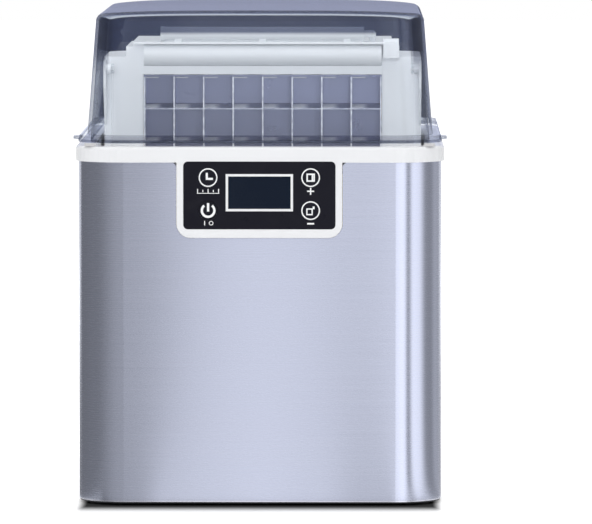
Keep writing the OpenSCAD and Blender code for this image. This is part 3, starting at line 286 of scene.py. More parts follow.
# ---------------------------------------------------------------- base and feet
# A pressed steel pan with a turned-up rim, painted black, under the whole body.
# Four rubber feet push into its corners from below.
def effect(name, inputs, outputs):
    """An empty node group with number or colour sockets: (tree, group input node, group output node)."""
    tree = bpy.data.node_groups.new(name, "ShaderNodeTree")
    for way, sockets in (("INPUT", inputs), ("OUTPUT", outputs)):
        for label, kind in sockets.items():
            tree.interface.new_socket(name=label, in_out=way, socket_type="NodeSocket" + kind)
    return tree, tree.nodes.new("NodeGroupInput"), tree.nodes.new("NodeGroupOutput")


def mixed(tree, share, a, b):
    """A colour mix of two sockets or colours by share."""
    node = tree.nodes.new("ShaderNodeMix")
    node.data_type = "RGBA"
    for socket, value in ((node.inputs["Factor"], share), (node.inputs[6], a), (node.inputs[7], b)):
        if isinstance(value, (int, float)):
            socket.default_value = value
        elif isinstance(value, tuple):
            socket.default_value = (*value, 1)
        else:
            tree.links.new(value, socket)
    return node.outputs[2]


def noise(tree, vector, scale, detail=2.0):
    """The value of a noise texture on a vector, centred on 0."""
    node = tree.nodes.new("ShaderNodeTexNoise")
    node.inputs["Detail"].default_value = detail
    for label, value in (("Scale", scale), ("Vector", vector)):
        if isinstance(value, (int, float)):
            node.inputs[label].default_value = value
        else:
            tree.links.new(value, node.inputs[label])
    return math_node(tree, "SUBTRACT", node.outputs["Fac"], 0.5)


def toned(tree, amount, colour):
    """A colour drawn towards black by how far amount is below 0, or towards white by how far above."""
    darkened = mixed(tree, math_node(tree, "MULTIPLY", amount, -1.0, clamp=True), colour, (0.0, 0.0, 0.0))
    return mixed(tree, math_node(tree, "MULTIPLY", amount, 1.0, clamp=True), darkened, (1.0, 1.0, 1.0))


# Fine grain: a moulded, cast or painted skin with a soft mottle in its colour and gloss.
grain, enter, leave = effect(
    "grain", {"Colour": "Color", "Gloss": "Float", "Size": "Float", "Mottle": "Float"},
    {"Colour": "Color", "Roughness": "Float", "Height": "Float"})
place = grain.nodes.new("ShaderNodeTexCoord").outputs["Object"]
fine = noise(grain, place, enter.outputs["Size"], 3)
broad = noise(grain, place, times(grain, enter.outputs["Size"], 0.04), 2)
shade = math_node(grain, "ADD", times(grain, fine, 0.4), broad)
mottled = toned(grain, times(grain, shade, enter.outputs["Mottle"]), enter.outputs["Colour"])
uneven = math_node(grain, "ADD", enter.outputs["Gloss"], times(grain, shade, 0.12))
grain.links.new(mottled, leave.inputs["Colour"])
grain.links.new(uneven, leave.inputs["Roughness"])
grain.links.new(fine, leave.inputs["Height"])


def finished(name, skin_effect, values, bump, bump_height):
    """A material with an effect's colour, roughness and relief: (material, node tree, shader)."""
    material, tree, shader = new_material(name)
    skin = tree.nodes.new("ShaderNodeGroup")
    skin.node_tree = skin_effect
    for label, value in values.items():
        skin.inputs[label].default_value = value
    tree.links.new(skin.outputs["Colour"], shader.inputs["Base Color"])
    tree.links.new(skin.outputs["Roughness"], shader.inputs["Roughness"])
    relief = tree.nodes.new("ShaderNodeBump")
    relief.inputs["Strength"].default_value = bump
    relief.inputs["Distance"].default_value = bump_height
    tree.links.new(skin.outputs["Height"], relief.inputs["Height"])
    tree.links.new(relief.outputs["Normal"], shader.inputs["Normal"])
    return material, tree, shader


def grained(name, colour, roughness, size=900.0, mottle=0.05, bump=0.02, metallic=0.0, specular=0.5,
        coat=0.0):
    """A material with the fine grain: moulded plastic, rubber, paint or plain sheet."""
    values = {"Colour": (*colour, 1), "Gloss": roughness, "Size": size, "Mottle": mottle}
    material, tree, shader = finished(name, grain, values, bump, bump_height=0.0005)
    shader.inputs["Metallic"].default_value = metallic
    shader.inputs["Specular IOR Level"].default_value = specular
    shader.inputs["Coat Weight"].default_value = coat
    return material


def dress(material, *nodes):
    """Puts a material on every slot of one or more CAD nodes."""
    for node in nodes:
        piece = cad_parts[node]
        if not piece.material_slots:
            piece.data.materials.append(material)
        for slot in piece.material_slots:
            slot.material = material


pan_paint = grained("pan_paint", (0.03, 0.03, 0.035), 0.45, size=1200, bump=0.1)
foot_rubber = grained("foot_rubber", (0.02, 0.02, 0.02), 0.7, size=1500, bump=0.15)
dress(pan_paint, "base_pan")
dress(foot_rubber, "feet")


# ---------------------------------------------------------------- steel shell
# One sheet of stainless steel, 0.8 mm, folded round the front and both sides and brushed lengthways.
# It slots into the top ring and is screwed to the base pan; its louvres are cut into both sides.
def stretched(tree, vector, scale):
    """A vector with each axis scaled by its own number."""
    node = tree.nodes.new("ShaderNodeVectorMath")
    node.operation = "MULTIPLY"
    tree.links.new(vector, node.inputs[0])
    node.inputs[1].default_value = scale
    return node.outputs[0]


def overlaid(tree, shader, share, colour):
    """Lays a colour by share over the one that a shader already has."""
    own = shader.inputs["Base Color"].links[0].from_socket
    tree.links.new(mixed(tree, share, own, colour), shader.inputs["Base Color"])


brushing, enter, leave = effect(
    "brushing", {"Colour": "Color", "Gloss": "Float", "Depth": "Float"},
    {"Colour": "Color", "Roughness": "Float", "Height": "Float"})
place = brushing.nodes.new("ShaderNodeTexCoord").outputs["Object"]
lines = noise(brushing, stretched(brushing, place, (14.0, 14.0, 2400.0)), 1.0, 3)
bands = noise(brushing, stretched(brushing, place, (4.0, 4.0, 420.0)), 1.0, 2)
streak = math_node(brushing, "ADD", lines, times(brushing, bands, 0.35))
streaked = toned(brushing, times(brushing, streak, enter.outputs["Depth"]), enter.outputs["Colour"])
uneven = math_node(brushing, "ADD", enter.outputs["Gloss"], times(brushing, streak, 0.08))
brushing.links.new(streaked, leave.inputs["Colour"])
brushing.links.new(uneven, leave.inputs["Roughness"])
brushing.links.new(lines, leave.inputs["Height"])

steel, tree, shader = finished("brushed_stainless", brushing,
    {"Colour": (0.605, 0.64, 0.76, 1), "Gloss": 0.27, "Depth": 0.09}, bump=0.02, bump_height=0.0002)
# Painted highlight: the last millimetre over its lower edge is drawn pale.
hem_highlight_height, hem_highlight_colour = 0.0010, (0.84, 0.86, 0.95)
hem_highlight = math_node(tree, "LESS_THAN", axes(tree)[2], shell_low.z + hem_highlight_height)
overlaid(tree, shader, hem_highlight, hem_highlight_colour)
shader.inputs["Metallic"].default_value = 1
shader.inputs["Anisotropic"].default_value = 0.85
shader.inputs["Anisotropic Rotation"].default_value = 0.25
along = tree.nodes.new("ShaderNodeTangent")
along.direction_type, along.axis = "RADIAL", "Z"
tree.links.new(along.outputs[0], shader.inputs["Tangent"])
dress(steel, "steel_shell")

# ---------------------------------------------------------------- rear panel
# A coated steel panel closes the back, with one set of vents behind the condenser and one higher up.
# Six cross-head screws, zinc plated, hold it.
coated_grey = grained("coated_grey", (0.52, 0.53, 0.55), 0.5, size=1400, mottle=0.06, bump=0.12)
zinc = grained("zinc_plate", (0.62, 0.62, 0.6), 0.32, size=2500, mottle=0.2, metallic=1.0)
dress(coated_grey, "rear_panel")
dress(zinc, "panel_screws")

# ---------------------------------------------------------------- top ring
# White ABS, moulded in one piece with the bib that carries the controls and the lugs of the hinge.
# Two grey rubber bumpers stand in its front corners, just under the flange of the shut lid.
white_gloss = grained("white_gloss", (0.80, 0.81, 0.83), 0.22, size=500, mottle=0.02, bump=0.01, coat=0.3)
bumper_rubber = grained("bumper_rubber", (0.55, 0.55, 0.56), 0.6, size=1500)
dress(white_gloss, "top_ring", "display_bezel")
dress(bumper_rubber, "lid_bumpers")

# ---------------------------------------------------------------- controls
# A black printed overlay on the bib, let in flush, with four moulded key caps and a dark display window.
# The green circuit board stands behind it.
overlay_black = grained("overlay_black", (0.006, 0.006, 0.012), 0.3, size=1800, mottle=0.01, specular=0.13)
display_glass = grained("display_glass", (0.003, 0.008, 0.02), 0.12, size=700, mottle=0.01, specular=0.1)
board_green = grained("board_green", (0.02, 0.14, 0.05), 0.4, size=900, mottle=0.15)
dress(overlay_black, "control_overlay", "key_timer", "key_power", "key_plus", "key_minus")
dress(display_glass, "lcd_module")
dress(board_green, "display_board")

# The printing: white ink on the caps and the overlay. Every mark is a strip between two rails of points.
print_white = grained("print_white", (0.86, 0.87, 0.88), 0.5, size=2500, mottle=0.02, bump=0.01, specular=0.2)
ink_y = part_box("control_overlay")[0].y
ink_proud, ink_depth = 0.00003, 0.00005


def arc(x, z, radius, start, end, steps=40):
    """Points (x + radius cos a, z + radius sin a), with a from start to end in degrees."""
    a = np.radians(np.linspace(start, end, steps + 1))
    return np.stack([x + radius * np.cos(a), z + radius * np.sin(a)], -1)


def strip(points, width):
    """Two rails at half a width on either side of a path of points (x, z), mitred at its bends: there the
    offset runs along the sum of both normals, over 1 + their dot product."""
    points = np.asarray(points, float)
    steps = np.diff(points, axis=0)
    steps /= np.linalg.norm(steps, axis=1, keepdims=True)
    normals = np.stack([-steps[:, 1], steps[:, 0]], -1)
    before, after = np.vstack([normals[:1], normals]), np.vstack([normals, normals[-1:]])
    mitre = (before + after) / (1 + (before * after).sum(1, keepdims=True))
    return points + mitre * width / 2, points - mitre * width / 2


def printed(name, strips, body="housing"):
    """One mesh of thin strips of ink. Each is a closed solid round four rails, the left and right one in
    front and the right and left one behind: quads join neighbouring rails, and one closes either end."""
    points, faces, first = [], [], 0
    depth = np.array([-ink_proud, -ink_proud, ink_depth, ink_depth]).reshape(4, 1)
    for left, right in strips:
        rails = np.stack([left, right, right, left])
        n = rails.shape[1]
        y = np.broadcast_to(ink_y + depth, (4, n))
        points.append(np.stack([rails[..., 0], y, rails[..., 1]], -1).reshape(-1, 3))
        i, k = np.meshgrid(np.arange(n - 1), np.arange(4), indexing="ij")
        a, b = first + k * n + i, first + (k + 1) % 4 * n + i
        ends = first + np.arange(4) * n
        faces += [*np.stack([a + 1, b + 1, b, a], -1).reshape(-1, 4), ends[::-1], ends + n - 1]
        first += 4 * n
    made = mesh_object(name, np.concatenate(points), faces)
    made.data.materials.append(print_white)
    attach(made, body)


def middle(node):
    """The middle of a node's box in x and z."""
    low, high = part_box(node)
    return (low.x + high.x) / 2, (low.z + high.z) / 2


def bar(x, z, run, rise, width):
    """A straight bar through (x, z), with its run and rise."""
    return strip([(x - run / 2, z - rise / 2), (x + run / 2, z + rise / 2)], width)


ring_radius, ring_line = 0.0070, 0.0010


def cap_ring(x, z):
    """The thin circle round the mark on a cap."""
    return strip(arc(x, z, ring_radius, 0, 360), ring_line)


# The timer: a clock's two hands on its cap, and under it a scale of five ticks on a line.
tick_pitch, tick_line, tall_tick, short_tick = 0.0042, 0.0007, 0.0034, 0.0019
hand_line, scale_length, scale_line = 0.0017, 0.0180, 0.0005
x, z = middle("key_timer")
hands = strip([(x - 0.001, z + 0.0038), (x - 0.001, z - 0.001), (x + 0.0039, z - 0.001)], hand_line)
ticks = [bar(x + k * tick_pitch, z - 0.0108, 0, short_tick if k % 2 else tall_tick, tick_line)
    for k in range(-2, 3)]
printed("timer_mark", [cap_ring(x, z), hands], "timer_key")
printed("timer_ticks", [*ticks, bar(x, z - 0.0126, scale_length, 0, scale_line)])

# Power: an open ring with a bar in its gap, and under the cap a small line and ring.
power_radius, power_line, small_radius, small_line = 0.0050, 0.0019, 0.0015, 0.0006
x, z = middle("key_power")
sign_z = z - 0.0101
printed("power_mark", [strip(arc(x, z, power_radius, 128, 412), power_line),
    bar(x, z + 0.0026, 0, 0.0068, power_line)], "power_key")
printed("power_line_and_ring", [bar(x - 0.0028, sign_z, 0, 0.0036, 0.0007),
    strip(arc(x + 0.0024, sign_z, small_radius, 0, 360), small_line)])

# Plus: a square outline with a bar down its right half, and under the cap a plus sign of three bars.
half_wide, half_high, square_line = 0.0028, 0.0027, 0.0012
sign_length, sign_line, arm, arm_middle = 0.0056, 0.0011, 0.00224, 0.00168
x, z = middle("key_plus")
sign_z = z - 0.0109
outline = strip([(x, z + half_high), (x - half_wide, z + half_high), (x - half_wide, z - half_high),
    (x + half_wide, z - half_high), (x + half_wide, z + half_high), (x, z + half_high)], square_line)
printed("plus_mark", [cap_ring(x, z), outline, bar(x + half_wide / 2, z, 0, 0.0042, square_line)], "plus_key")
printed("plus_sign", [bar(x, sign_z, sign_length, 0, sign_line),
    bar(x, sign_z + arm_middle, 0, arm, sign_line), bar(x, sign_z - arm_middle, 0, arm, sign_line)])

# Minus: a smaller square outline with a block over its right corner, and under the cap a minus sign.
x, z = middle("key_minus")
outline = strip([(x - 0.001, z + 0.0013), (x - 0.003, z + 0.0013), (x - 0.003, z - 0.0032),
    (x + 0.0012, z - 0.0032), (x + 0.0012, z + 0.0013), (x - 0.001, z + 0.0013)], 0.0010)
block = strip([(x + 0.0016, z + 0.0022), (x + 0.0032, z + 0.0022)], 0.0022)
printed("minus_mark", [cap_ring(x, z), outline, block], "minus_key")
printed("minus_sign", [bar(x, z - 0.0105, sign_length, 0, 0.0013)])


# ---------------------------------------------------------------- lid
# One moulding of smoke-tinted clear plastic, 2.5 mm thick: a flange, four leaning walls, a low crown.
# Two knuckles at its back turn on steel pins, which the ring's lugs hold. The plastic looks darker
# towards its back and crown.
def rounded_rectangle(half_width, front, back, radius, rear_radius=None, side_steps=20, corner_steps=12):
    """Rings of points (levels, points, 2) round rectangles with round corners. Along each side the
    point runs straight between the corners' centres, and in each corner it is the centre plus
    radius times (cosine, sine) of an angle that turns a quarter. The radius goes from its front value
    to its rear value along the sides."""
    side = np.arange(side_steps) / side_steps * 2 - 1
    turn = np.arange(corner_steps) / corner_steps * math.pi / 2
    ones_s, ones_c = np.ones(side_steps), np.ones(corner_steps)
    kx = np.concatenate([side, ones_c, ones_s, ones_c, -side, -ones_c, -ones_s, -ones_c])
    ky = np.concatenate([-ones_s, -ones_c, side, ones_c, ones_s, ones_c, -side, -ones_c])
    angle = np.concatenate([ones_s * -math.pi / 2, turn - math.pi / 2, ones_s * 0, turn,
        ones_s * math.pi / 2, turn + math.pi / 2, ones_s * math.pi, turn + math.pi])
    rear_radius = radius if rear_radius is None else rear_radius
    half_width, front, back, radius, rear_radius = (
        np.asarray(v, float).reshape(-1, 1) for v in (half_width, front, back, radius, rear_radius))
    radius = radius + (rear_radius - radius) * (1 + ky) / 2
    x = kx * (half_width - radius) + radius * np.cos(angle)
    y = (front + back) / 2 + ky * ((back - front) / 2 - radius) + radius * np.sin(angle)
    return np.stack([x, y], -1)


def ring_faces(levels, points):
    """Quads between neighbouring rings of a grid that closes on itself round the ring."""
    j, i = np.meshgrid(np.arange(levels - 1), np.arange(points), indexing="ij")
    across = (i + 1) % points
    return np.stack([j * points + i, j * points + across, (j + 1) * points + across, (j + 1) * points + i],
        -1).reshape(-1, 4).tolist()


def shaded(piece, sharp_over=35):
    """Smooth shading, with edges sharper than an angle in degrees left crisp."""
    piece.data.polygons.foreach_set("use_smooth", np.ones(len(piece.data.polygons), bool))
    piece.data.set_sharp_from_angle(angle=math.radians(sharp_over))
    return piece


# The flange lies just over the bumpers, inside the ears at its sides and the knuckles behind it.
# The walls stand back from its edge by a ledge.
lid_low, lid_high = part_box("lid")
lid_wall = 0.0025
ear_reach, knuckle_reach, bumper_gap, flange_thick = 0.0042, 0.0105, 0.0003, 0.0056
side_ledge, front_ledge, back_ledge = 0.0073, 0.0063, 0.004
flange_half, flange_front, flange_back = lid_high.x - ear_reach, lid_low.y, lid_high.y - knuckle_reach
flange_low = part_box("lid_bumpers")[1].z + bumper_gap
flange_high = flange_low + flange_thick
wall_half = flange_half - side_ledge
wall_front, wall_back = flange_front + front_ledge, flange_back - back_ledge
wall_round, wall_foot = 0.030, 0.0006
wall_lean, edge_round, crown_rise = 0.0069, 0.0065, 0.0036
rear_rounder = 0.7
edge_z = lid_high.z - crown_rise - edge_round

# The profile runs from the middle of the crown's underside, down the inside, round the flange and
# up the outside to the middle again. Each row: how far in from the wall's foot, and its height.
turn = np.radians([0, 15, 30, 45, 60, 75, 90])
wall_steps = np.array([0.25, 0.5, 0.75])


def wall_profile(foot, foot_z, edge_radius):
    """How far in, and how high, a side of the wall is: its foot, three steps up its lean, then the round
    edge, at lean + radius * (1 - cos a) and edge_z + radius * sin a, with a from 0 to 90 degrees."""
    inset = np.concatenate([[0.0], wall_lean * wall_steps, wall_lean + edge_radius * (1 - np.cos(turn))])
    leaning = foot_z + (edge_z - foot_z) * wall_steps
    return inset, np.concatenate([[foot_z + foot], leaning, edge_z + edge_radius * np.sin(turn)])


outer_in, outer_z = wall_profile(wall_foot, flange_high, edge_round)
inner_in, inner_z = wall_profile(0.0, flange_low, edge_round - lid_wall)
crown_shares = np.array([0.93, 0.8, 0.6, 0.4, 0.2, 0.04])
corner_loss = 0.55


def dome_rings(inset, height):
    """Rings up the wall and over its edge, then shrinking towards the middle of the crown. Every ring's
    height gains crown_rise * (1 - (x / half width)^4), in full from the edge up and in part below it."""
    half = wall_half - inset
    depth = np.stack([wall_front + inset, wall_back - inset], -1)
    radius = wall_round - inset * corner_loss
    middle = depth[-1].mean()
    half = np.concatenate([half, half[-1] * crown_shares])
    low = np.concatenate([depth[:, 0], middle + (depth[-1, 0] - middle) * crown_shares])
    high = np.concatenate([depth[:, 1], middle + (depth[-1, 1] - middle) * crown_shares])
    radius = np.concatenate([radius, radius[-1] * crown_shares])
    z = np.concatenate([height, np.full(len(crown_shares), height[-1])])
    share = np.clip((z - flange_high) / (edge_z - flange_high), 0, 1)
    plan = rounded_rectangle(half, low, high, radius, radius * (1 + rear_rounder * share ** 2))
    rise = crown_rise * (1 - (plan[..., 0] / wall_half) ** 4) * share[:, None]
    return np.concatenate([plan, (z[:, None] + rise)[..., None]], -1)


# The flange's edge has a step halfway up: its upper half stands 0.8 mm further in than the lower.
flange_round, inner_round = 0.0373, wall_round + 0.001
flange_out = np.array([-0.0004, 0.0, 0.0, -0.0003, -0.0008, -0.0008, -0.0012, -0.0078])
flange_z = flange_low + np.array([0.0, 0.0004, 0.0026, 0.0029, 0.0029, 0.0053, flange_thick, flange_thick])
on_edge = flange_out > -0.005
flange_plan = rounded_rectangle(flange_half + flange_out, flange_front - flange_out, flange_back + flange_out,
    np.where(on_edge, flange_round + flange_out, inner_round))
flange_level = np.broadcast_to(flange_z[:, None, None], (*flange_plan.shape[:2], 1))
flange = np.concatenate([flange_plan, flange_level], -1)
inside, outside = dome_rings(lid_wall + inner_in, inner_z)[::-1], dome_rings(outer_in, outer_z)
rings = np.concatenate([inside, flange, outside])
count = rings.shape[1]
closing = [np.arange(count)[::-1], (len(rings) - 1) * count + np.arange(count)]
lid_shell = shaded(mesh_object("lid_shell", rings, ring_faces(len(rings), count) + closing), 30)

# Light passes straight through each face and loses some of its colour there: little in front, most at
# the back and crown, more where the plastic is seen edge on, and more in the thick flange.
smoke, tree, shader = new_material("smoke_clear")
x, y, z = axes(tree)
turned_x, turned_y, turned_z = axes(tree, "Normal")
upright_under, sideways_over, frontal_under = 0.6, 0.6, -0.09
upright = math_node(tree, "LESS_THAN", math_node(tree, "ABSOLUTE", turned_z), upright_under)
sideways = math_node(tree, "GREATER_THAN", math_node(tree, "ABSOLUTE", turned_x), sideways_over)
outer_front = math_node(tree, "LESS_THAN", turned_y, frontal_under)
facing = tree.nodes.new("ShaderNodeLayerWeight")
facing.inputs["Blend"].default_value = 0.5


def edge_on(sharpness):
    """0.9 times a power of how far a face turns away from the eye."""
    return times(tree, math_node(tree, "POWER", facing.outputs["Facing"], sharpness), 0.9)


front_tint, back_tint, edge_tint = (0.958, 0.98, 1.0), (0.17, 0.19, 0.27), (0.16, 0.18, 0.26)
darker_from_y, darkest_from_y, edge_sharpness = -0.10, 0.12, 24.0
tint = mixed(tree, smooth_step(tree, y, darker_from_y, darkest_from_y), front_tint, back_tint)
tint = mixed(tree, edge_on(edge_sharpness), tint, edge_tint)

# The flange: clear from above, and dark through its upright edge, most of all in the lower half.
flange_tint, flange_edge_tint = (0.93, 0.945, 0.97), (0.14, 0.17, 0.26)
edge_dark, lower_dark, flange_margin, lower_half = 0.22, 0.36, 0.0004, 0.0027
in_flange = math_node(tree, "LESS_THAN", z, flange_high + flange_margin)
in_lower_half = math_node(tree, "LESS_THAN", z, flange_low + lower_half)
tint = mixed(tree, in_flange, tint, flange_tint)
thick = math_node(tree, "ADD", times(tree, in_flange, edge_dark), times(tree, in_lower_half, lower_dark))
tint = mixed(tree, times(tree, upright, thick), tint, flange_edge_tint)

# The side walls darken towards the crown, and the front wall has a thin dark outline at its bends.
side_tint, outline_tint, outline_sharpness = (0.20, 0.22, 0.31), (0.10, 0.11, 0.16), 2.5
upwards = smooth_step(tree, z, lid_high.z - 0.056, lid_high.z - 0.030, 0.5)
tint = mixed(tree, times(tree, sideways, upwards), tint, side_tint)
tint = mixed(tree, times(tree, edge_on(outline_sharpness), outer_front), tint, outline_tint)

# Light that only fills the room passes unchanged. The rest is mirrored by a capped Fresnel share.
path = tree.nodes.new("ShaderNodeLightPath")
room_light = math_node(tree, "ADD", path.outputs["Is Shadow Ray"], path.outputs["Is Diffuse Ray"], clamp=True)
clear = tree.nodes.new("ShaderNodeBsdfTransparent")
tree.links.new(mixed(tree, room_light, tint, (1.0, 1.0, 1.0)), clear.inputs["Color"])
sheen = tree.nodes.new("ShaderNodeFresnel")
sheen.inputs["IOR"].default_value = 1.46
sheen_share, side_cap = 0.62, 0.82
capped = times(tree, math_node(tree, "MAXIMUM", sideways, in_flange), side_cap)
most = math_node(tree, "SUBTRACT", 1.0, capped)
mirrored = math_node(tree, "MINIMUM", times(tree, sheen.outputs[0], sheen_share), most)
gloss = tree.nodes.new("ShaderNodeBsdfAnisotropic")
gloss.inputs["Roughness"].default_value = 0.04
gloss.inputs["Color"].default_value = (0.9, 0.93, 1.0, 1)
either = tree.nodes.new("ShaderNodeMixShader")
tree.links.new(times(tree, mirrored, math_node(tree, "SUBTRACT", 1.0, room_light)), either.inputs[0])
tree.links.new(clear.outputs[0], either.inputs[1])
tree.links.new(gloss.outputs[0], either.inputs[2])
tree.nodes.remove(shader)
tree.links.new(either.outputs[0], tree.nodes["Material Output"].inputs["Surface"])
lid_shell.data.materials.append(smoke)
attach(lid_shell, "lid")
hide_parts("lid")
dress(zinc, "hinge_pins")


def oblong(x0, y0, x1, y1):
    """The corners of an oblong, anticlockwise from above."""
    return [(x0, y0), (x1, y0), (x1, y1), (x0, y1)]


def plate(name, loops, z0, z1):
    """Flat closed plates between two heights, each over a loop of (x, y) points, anticlockwise from above:
    the loop reversed below, the loop itself on top, and a quad from each side to the next."""
    points, faces, first = [], [], 0
    for loop in loops:
        n = len(loop)
        i = first + np.arange(n)
        j = first + (np.arange(n) + 1) % n
        points += [np.c_[loop, np.full(n, z)] for z in (z0, z1)]
        faces += [i[::-1], i + n, *np.stack([i, j, j + n, i + n], -1)]
        first += 2 * n
    return mesh_object(name, np.concatenate(points), faces)


def rods_along_x(name, spans, radius, y, z, bore, steps=32):
    """Closed sleeves along X between pairs of x, round an axis at (y, z). Each has four circles, y + r cos a
    and z + r sin a, the outer radius at both ends and then the bore, with quads from each to the next."""
    a = np.arange(steps) * 2 * math.pi / steps
    r = np.array([radius, radius, bore, bore]).reshape(4, 1)
    x = np.asarray(spans)[:, [0, 1, 1, 0], None]
    points = np.stack(np.broadcast_arrays(x, y + r * np.cos(a), z + r * np.sin(a)), -1)
    rod, circle, i = np.indices((len(spans), 4, steps))
    here, after, j = (rod * 4 + circle) * steps, (rod * 4 + (circle + 1) % 4) * steps, (i + 1) % steps
    faces = np.stack([here + i, here + j, after + j, after + i], -1).reshape(-1, 4)
    return mesh_object(name, points, faces)


# The ears at the flange's sides, by which the lid is lifted.
ear_low, ear_thick, ear_root = flange_low + 0.002, 0.002, flange_half - 0.002
ear = np.array([(ear_root, -0.152), (lid_high.x, -0.14), (lid_high.x, -0.122), (ear_root, -0.11)])
ears = plate("lid_ears", [ear, ear[::-1] * (-1, 1)], ear_low, ear_low + ear_thick)

# The knuckles, a sleeve round each pin, and the flat arms that join them to the flange.
pin_head = 0.0034
knuckle_spans = [(-0.084, -0.06), (0.06, 0.084)]
knuckle_radius, knuckle_bore = 0.0045, 0.00208
arm_start, arm_inset, arm_below, arm_above = flange_back - 0.001, 0.0025, 0.002, 0.0025
pin_y, pin_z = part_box("hinge_pins")[0].y + pin_head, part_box("hinge_pins")[0].z + pin_head
knuckles = rods_along_x("lid_knuckles", knuckle_spans, knuckle_radius, pin_y, pin_z, knuckle_bore)
arms = plate("lid_arms", [oblong(x0, arm_start, x1, pin_y - arm_inset) for x0, x1 in knuckle_spans],
    pin_z - arm_below, pin_z + arm_above)
for piece in (ears, knuckles, arms):
    piece.data.materials.append(smoke)
    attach(piece, "lid")
shaded(knuckles)

# ---------------------------------------------------------------- ice bay
# A white moulded liner in a block of foam. It holds the lift-out basket and the chute grille, and
# two ice sensors on its side walls.
white_satin = grained("white_satin", (0.90, 0.925, 0.965), 0.35, size=700, mottle=0.03, bump=0.03)
foam = grained("foam", (0.72, 0.62, 0.38), 0.9, size=600, mottle=0.25, bump=0.5)
dark_plastic = grained("dark_plastic", (0.05, 0.05, 0.055), 0.5, size=1200, bump=0.08)
grey_plastic = grained("grey_plastic", (0.23, 0.24, 0.25), 0.5, size=1200, bump=0.08)
dress(white_satin, "liner", "chute_grille", "ice_basket")
dress(foam, "insulation_jacket")
dress(grey_plastic, "ice_sensor_left", "ice_sensor_right")

# ---------------------------------------------------------------- evaporator
# Nickel-plated copper: a comb of vertical and sloping fins soldered to a back plate and coil.
# A white moulded housing frames it and carries the water tube, which looks pale, with a painted
# shade along its top.
grid_low, grid_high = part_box("evaporator_grid")
cells_across, fin, top_fin = 8, 0.0012, 0.0050
cell_pitch = (grid_high.x - grid_low.x - fin) / cells_across
nickel = grained("nickel_plate", (0.33, 0.34, 0.47), 0.30, size=1500, mottle=0.1, metallic=1.0)
tree, shader = nickel.node_tree, nickel.node_tree.nodes["Principled BSDF"]
x, y, z = axes(tree)
upward = axes(tree, "Normal")[2]

# Painted highlight: the fins' front edges are drawn bright in patches, the vertical ones twice as much as the
# sloping.
half_fin, near_fin, patch_size, patch_level, patch_depth = fin / 2, 0.46, 190.0, 0.78, 1.6
place = tree.nodes.new("ShaderNodeTexCoord").outputs["Object"]
on_edge = math_node(tree, "LESS_THAN", y, grid_low.y + half_fin)
below_top = math_node(tree, "LESS_THAN", z, grid_high.z - top_fin)
patches = times(tree, noise(tree, place, patch_size, 1), patch_depth)
patchy = math_node(tree, "ADD", patch_level, patches, clamp=True)
edge = times(tree, times(tree, on_edge, below_top), patchy)
from_fin = math_node(tree, "SUBTRACT", x, grid_low.x + half_fin)
across = math_node(tree, "FRACT", math_node(tree, "DIVIDE", from_fin, cell_pitch))
off_middle = math_node(tree, "ABSOLUTE", math_node(tree, "SUBTRACT", across, 0.5))
upright = math_node(tree, "GREATER_THAN", off_middle, near_fin)
edge = times(tree, edge, math_node(tree, "ADD", 0.5, times(tree, upright, 0.5)))

# Painted highlight: the left half of each sloping floor's upper face, near the front, is drawn bright.
highlight_start, highlight_end, highlight_depth = 0.62, 0.36, 0.0155
inward = math_node(tree, "LESS_THAN", y, grid_low.y + highlight_depth)
floors = times(tree, math_node(tree, "GREATER_THAN", upward, 0.5), inward)
floor_highlight = times(tree, smooth_step(tree, across, highlight_start, highlight_end), floors)
bright = math_node(tree, "MAXIMUM", edge, floor_highlight)
highlight_colour, metal_loss = (0.93, 0.94, 1.0), 0.9
# Both painted highlights are laid over the nickel's colour, and the metal is mostly taken out where they lie.
overlaid(tree, shader, bright, highlight_colour)
tree.links.new(math_node(tree, "SUBTRACT", 1.0, times(tree, bright, metal_loss)), shader.inputs["Metallic"])
copper = grained("copper", (0.78, 0.36, 0.2), 0.28, size=1200, mottle=0.25, metallic=1.0)
brass = grained("brass", (0.72, 0.52, 0.22), 0.3, size=1200, mottle=0.2, metallic=1.0)
housing_white = grained("housing_white", (0.94, 0.955, 0.985), 0.33, size=700, mottle=0.03, bump=0.03)
dress(nickel, "evaporator_grid")
dress(copper, "refrigerant_coil")
dress(housing_white, "evaporator_housing", "deflector_bar")

# The water tube's plastic is pale, and a painted shade darkens it along its top in a smooth step.
tube_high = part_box("water_tube")[1]
tube_clear = grained("tube_clear", (0.80, 0.82, 0.85), 0.12, size=700, mottle=0.02, bump=0.01, coat=0.5)
tree, shader = tube_clear.node_tree, tube_clear.node_tree.nodes["Principled BSDF"]
shade_from, shade_to, top_shade_colour = tube_high.z - 0.0085, tube_high.z - 0.0045, (0.10, 0.115, 0.18)
overlaid(tree, shader, smooth_step(tree, axes(tree)[2], shade_from, shade_to), top_shade_colour)
dress(tube_clear, "water_tube")

# A white lip closes the slot over the grid, and a white cradle lies under the tube.
lip_half, lip_front, lip_back, lip_overlap = 0.0991, 0.0100, 0.0118, 0.0029
cradle_half, cradle_front, cradle_back = 0.0835, 0.0070, 0.0117
cradle_low, cradle_high = tube_high.z - 0.0131, tube_high.z - 0.0110
lip_low, lip_high = grid_high.z - lip_overlap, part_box("deflector_bar")[0].z - 0.0001
lip = plate("header_lip", [oblong(-lip_half, lip_front, lip_half, lip_back)], lip_low, lip_high)
cradle = plate("tube_cradle", [oblong(-cradle_half, cradle_front, cradle_half, cradle_back)],
    cradle_low, cradle_high)
for piece in (lip, cradle):
    piece.data.materials.append(housing_white)
    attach(piece, "housing")
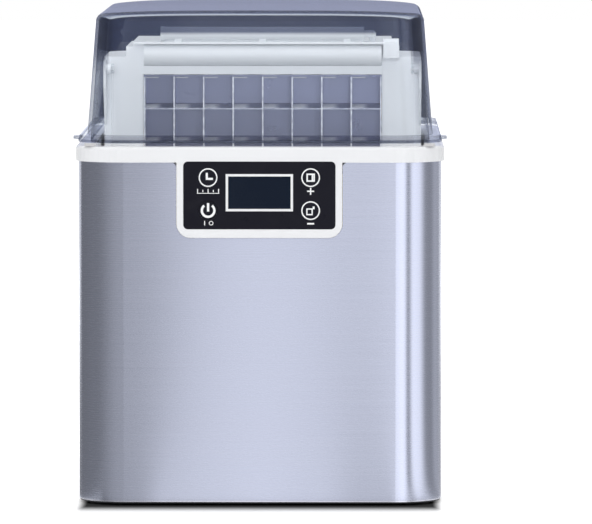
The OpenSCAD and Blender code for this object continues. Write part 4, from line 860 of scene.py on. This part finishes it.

# Painted highlight: thin pale rods lie under the grid's top fin, one in each cell.
run_start, run_end, run_radius, run_bore = 0.0014, 0.0124, 0.0005, 0.0002
run_y, run_z = grid_low.y + 0.0012, grid_high.z - 0.0055
highlight_rod_white = grained("highlight_rod_white", (0.85, 0.86, 0.92), 0.25, size=1500, mottle=0.1, metallic=0.3)
run_spans = [(grid_low.x + run_start + i * cell_pitch, grid_low.x + run_end + i * cell_pitch)
    for i in range(cells_across)]
runs = rods_along_x("highlight_rods", run_spans, run_radius, run_y, run_z, run_bore, steps=12)
runs.data.materials.append(highlight_rod_white)
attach(runs, "housing")

# The curtain: a thin clear sheet, nearly unseen from the front, with cut edges that catch the light.
curtain_clear, tree, shader = new_material("curtain_clear")
shader.inputs["Base Color"].default_value = (0.86, 0.9, 0.95, 1)
shader.inputs["Roughness"].default_value = 0.25
edge_alpha, sheet_loss, frontal_over = 0.7, 0.68, 0.9
frontal = math_node(tree, "ABSOLUTE", axes(tree, "Normal")[1])
sheet = math_node(tree, "GREATER_THAN", frontal, frontal_over)
alpha = math_node(tree, "SUBTRACT", edge_alpha, times(tree, sheet, sheet_loss))
tree.links.new(alpha, shader.inputs["Alpha"])
dress(curtain_clear, "water_curtain")

# ---------------------------------------------------------------- water parts
# A moulded pump with a white strainer sends the water up a silicone hose to the tube.
# A float slides on its stem, and a silicone drain tube ends in a plug at the back.
silicone = grained("silicone", (0.72, 0.74, 0.76), 0.4, size=900)
dress(dark_plastic, "water_pump", "drain_plug")
dress(white_satin, "pump_strainer", "float_stem", "level_float")
dress(silicone, "water_hose", "drain_tube")

# ---------------------------------------------------------------- cooling plant
# A hermetic compressor, painted black, on rubber mounts, and a finned metal condenser with its fan.
# The drier and the tubes are copper, and the valve brass. The main board stands behind the insulation.
can_paint = grained("can_paint", (0.02, 0.02, 0.022), 0.3, size=800, mottle=0.05, coat=0.3)
fin_metal = grained("fin_metal", (0.75, 0.76, 0.78), 0.35, size=1500, mottle=0.1, metallic=1.0)
motor_steel = grained("motor_steel", (0.35, 0.35, 0.36), 0.4, size=1500, mottle=0.15, metallic=1.0)
cable_black = grained("cable_black", (0.03, 0.03, 0.03), 0.55, size=1500)
dress(can_paint, "compressor")
dress(foot_rubber, "compressor_mounts")
dress(dark_plastic, "terminal_cover", "fan_shroud", "fan_rotor", "cord_gland")
dress(fin_metal, "condenser")
dress(motor_steel, "fan_motor")
dress(copper, "filter_drier", "capillary_tube", "discharge_tube", "suction_tube")
dress(brass, "hot_gas_valve")
dress(board_green, "main_board")
dress(cable_black, "wiring_harness")
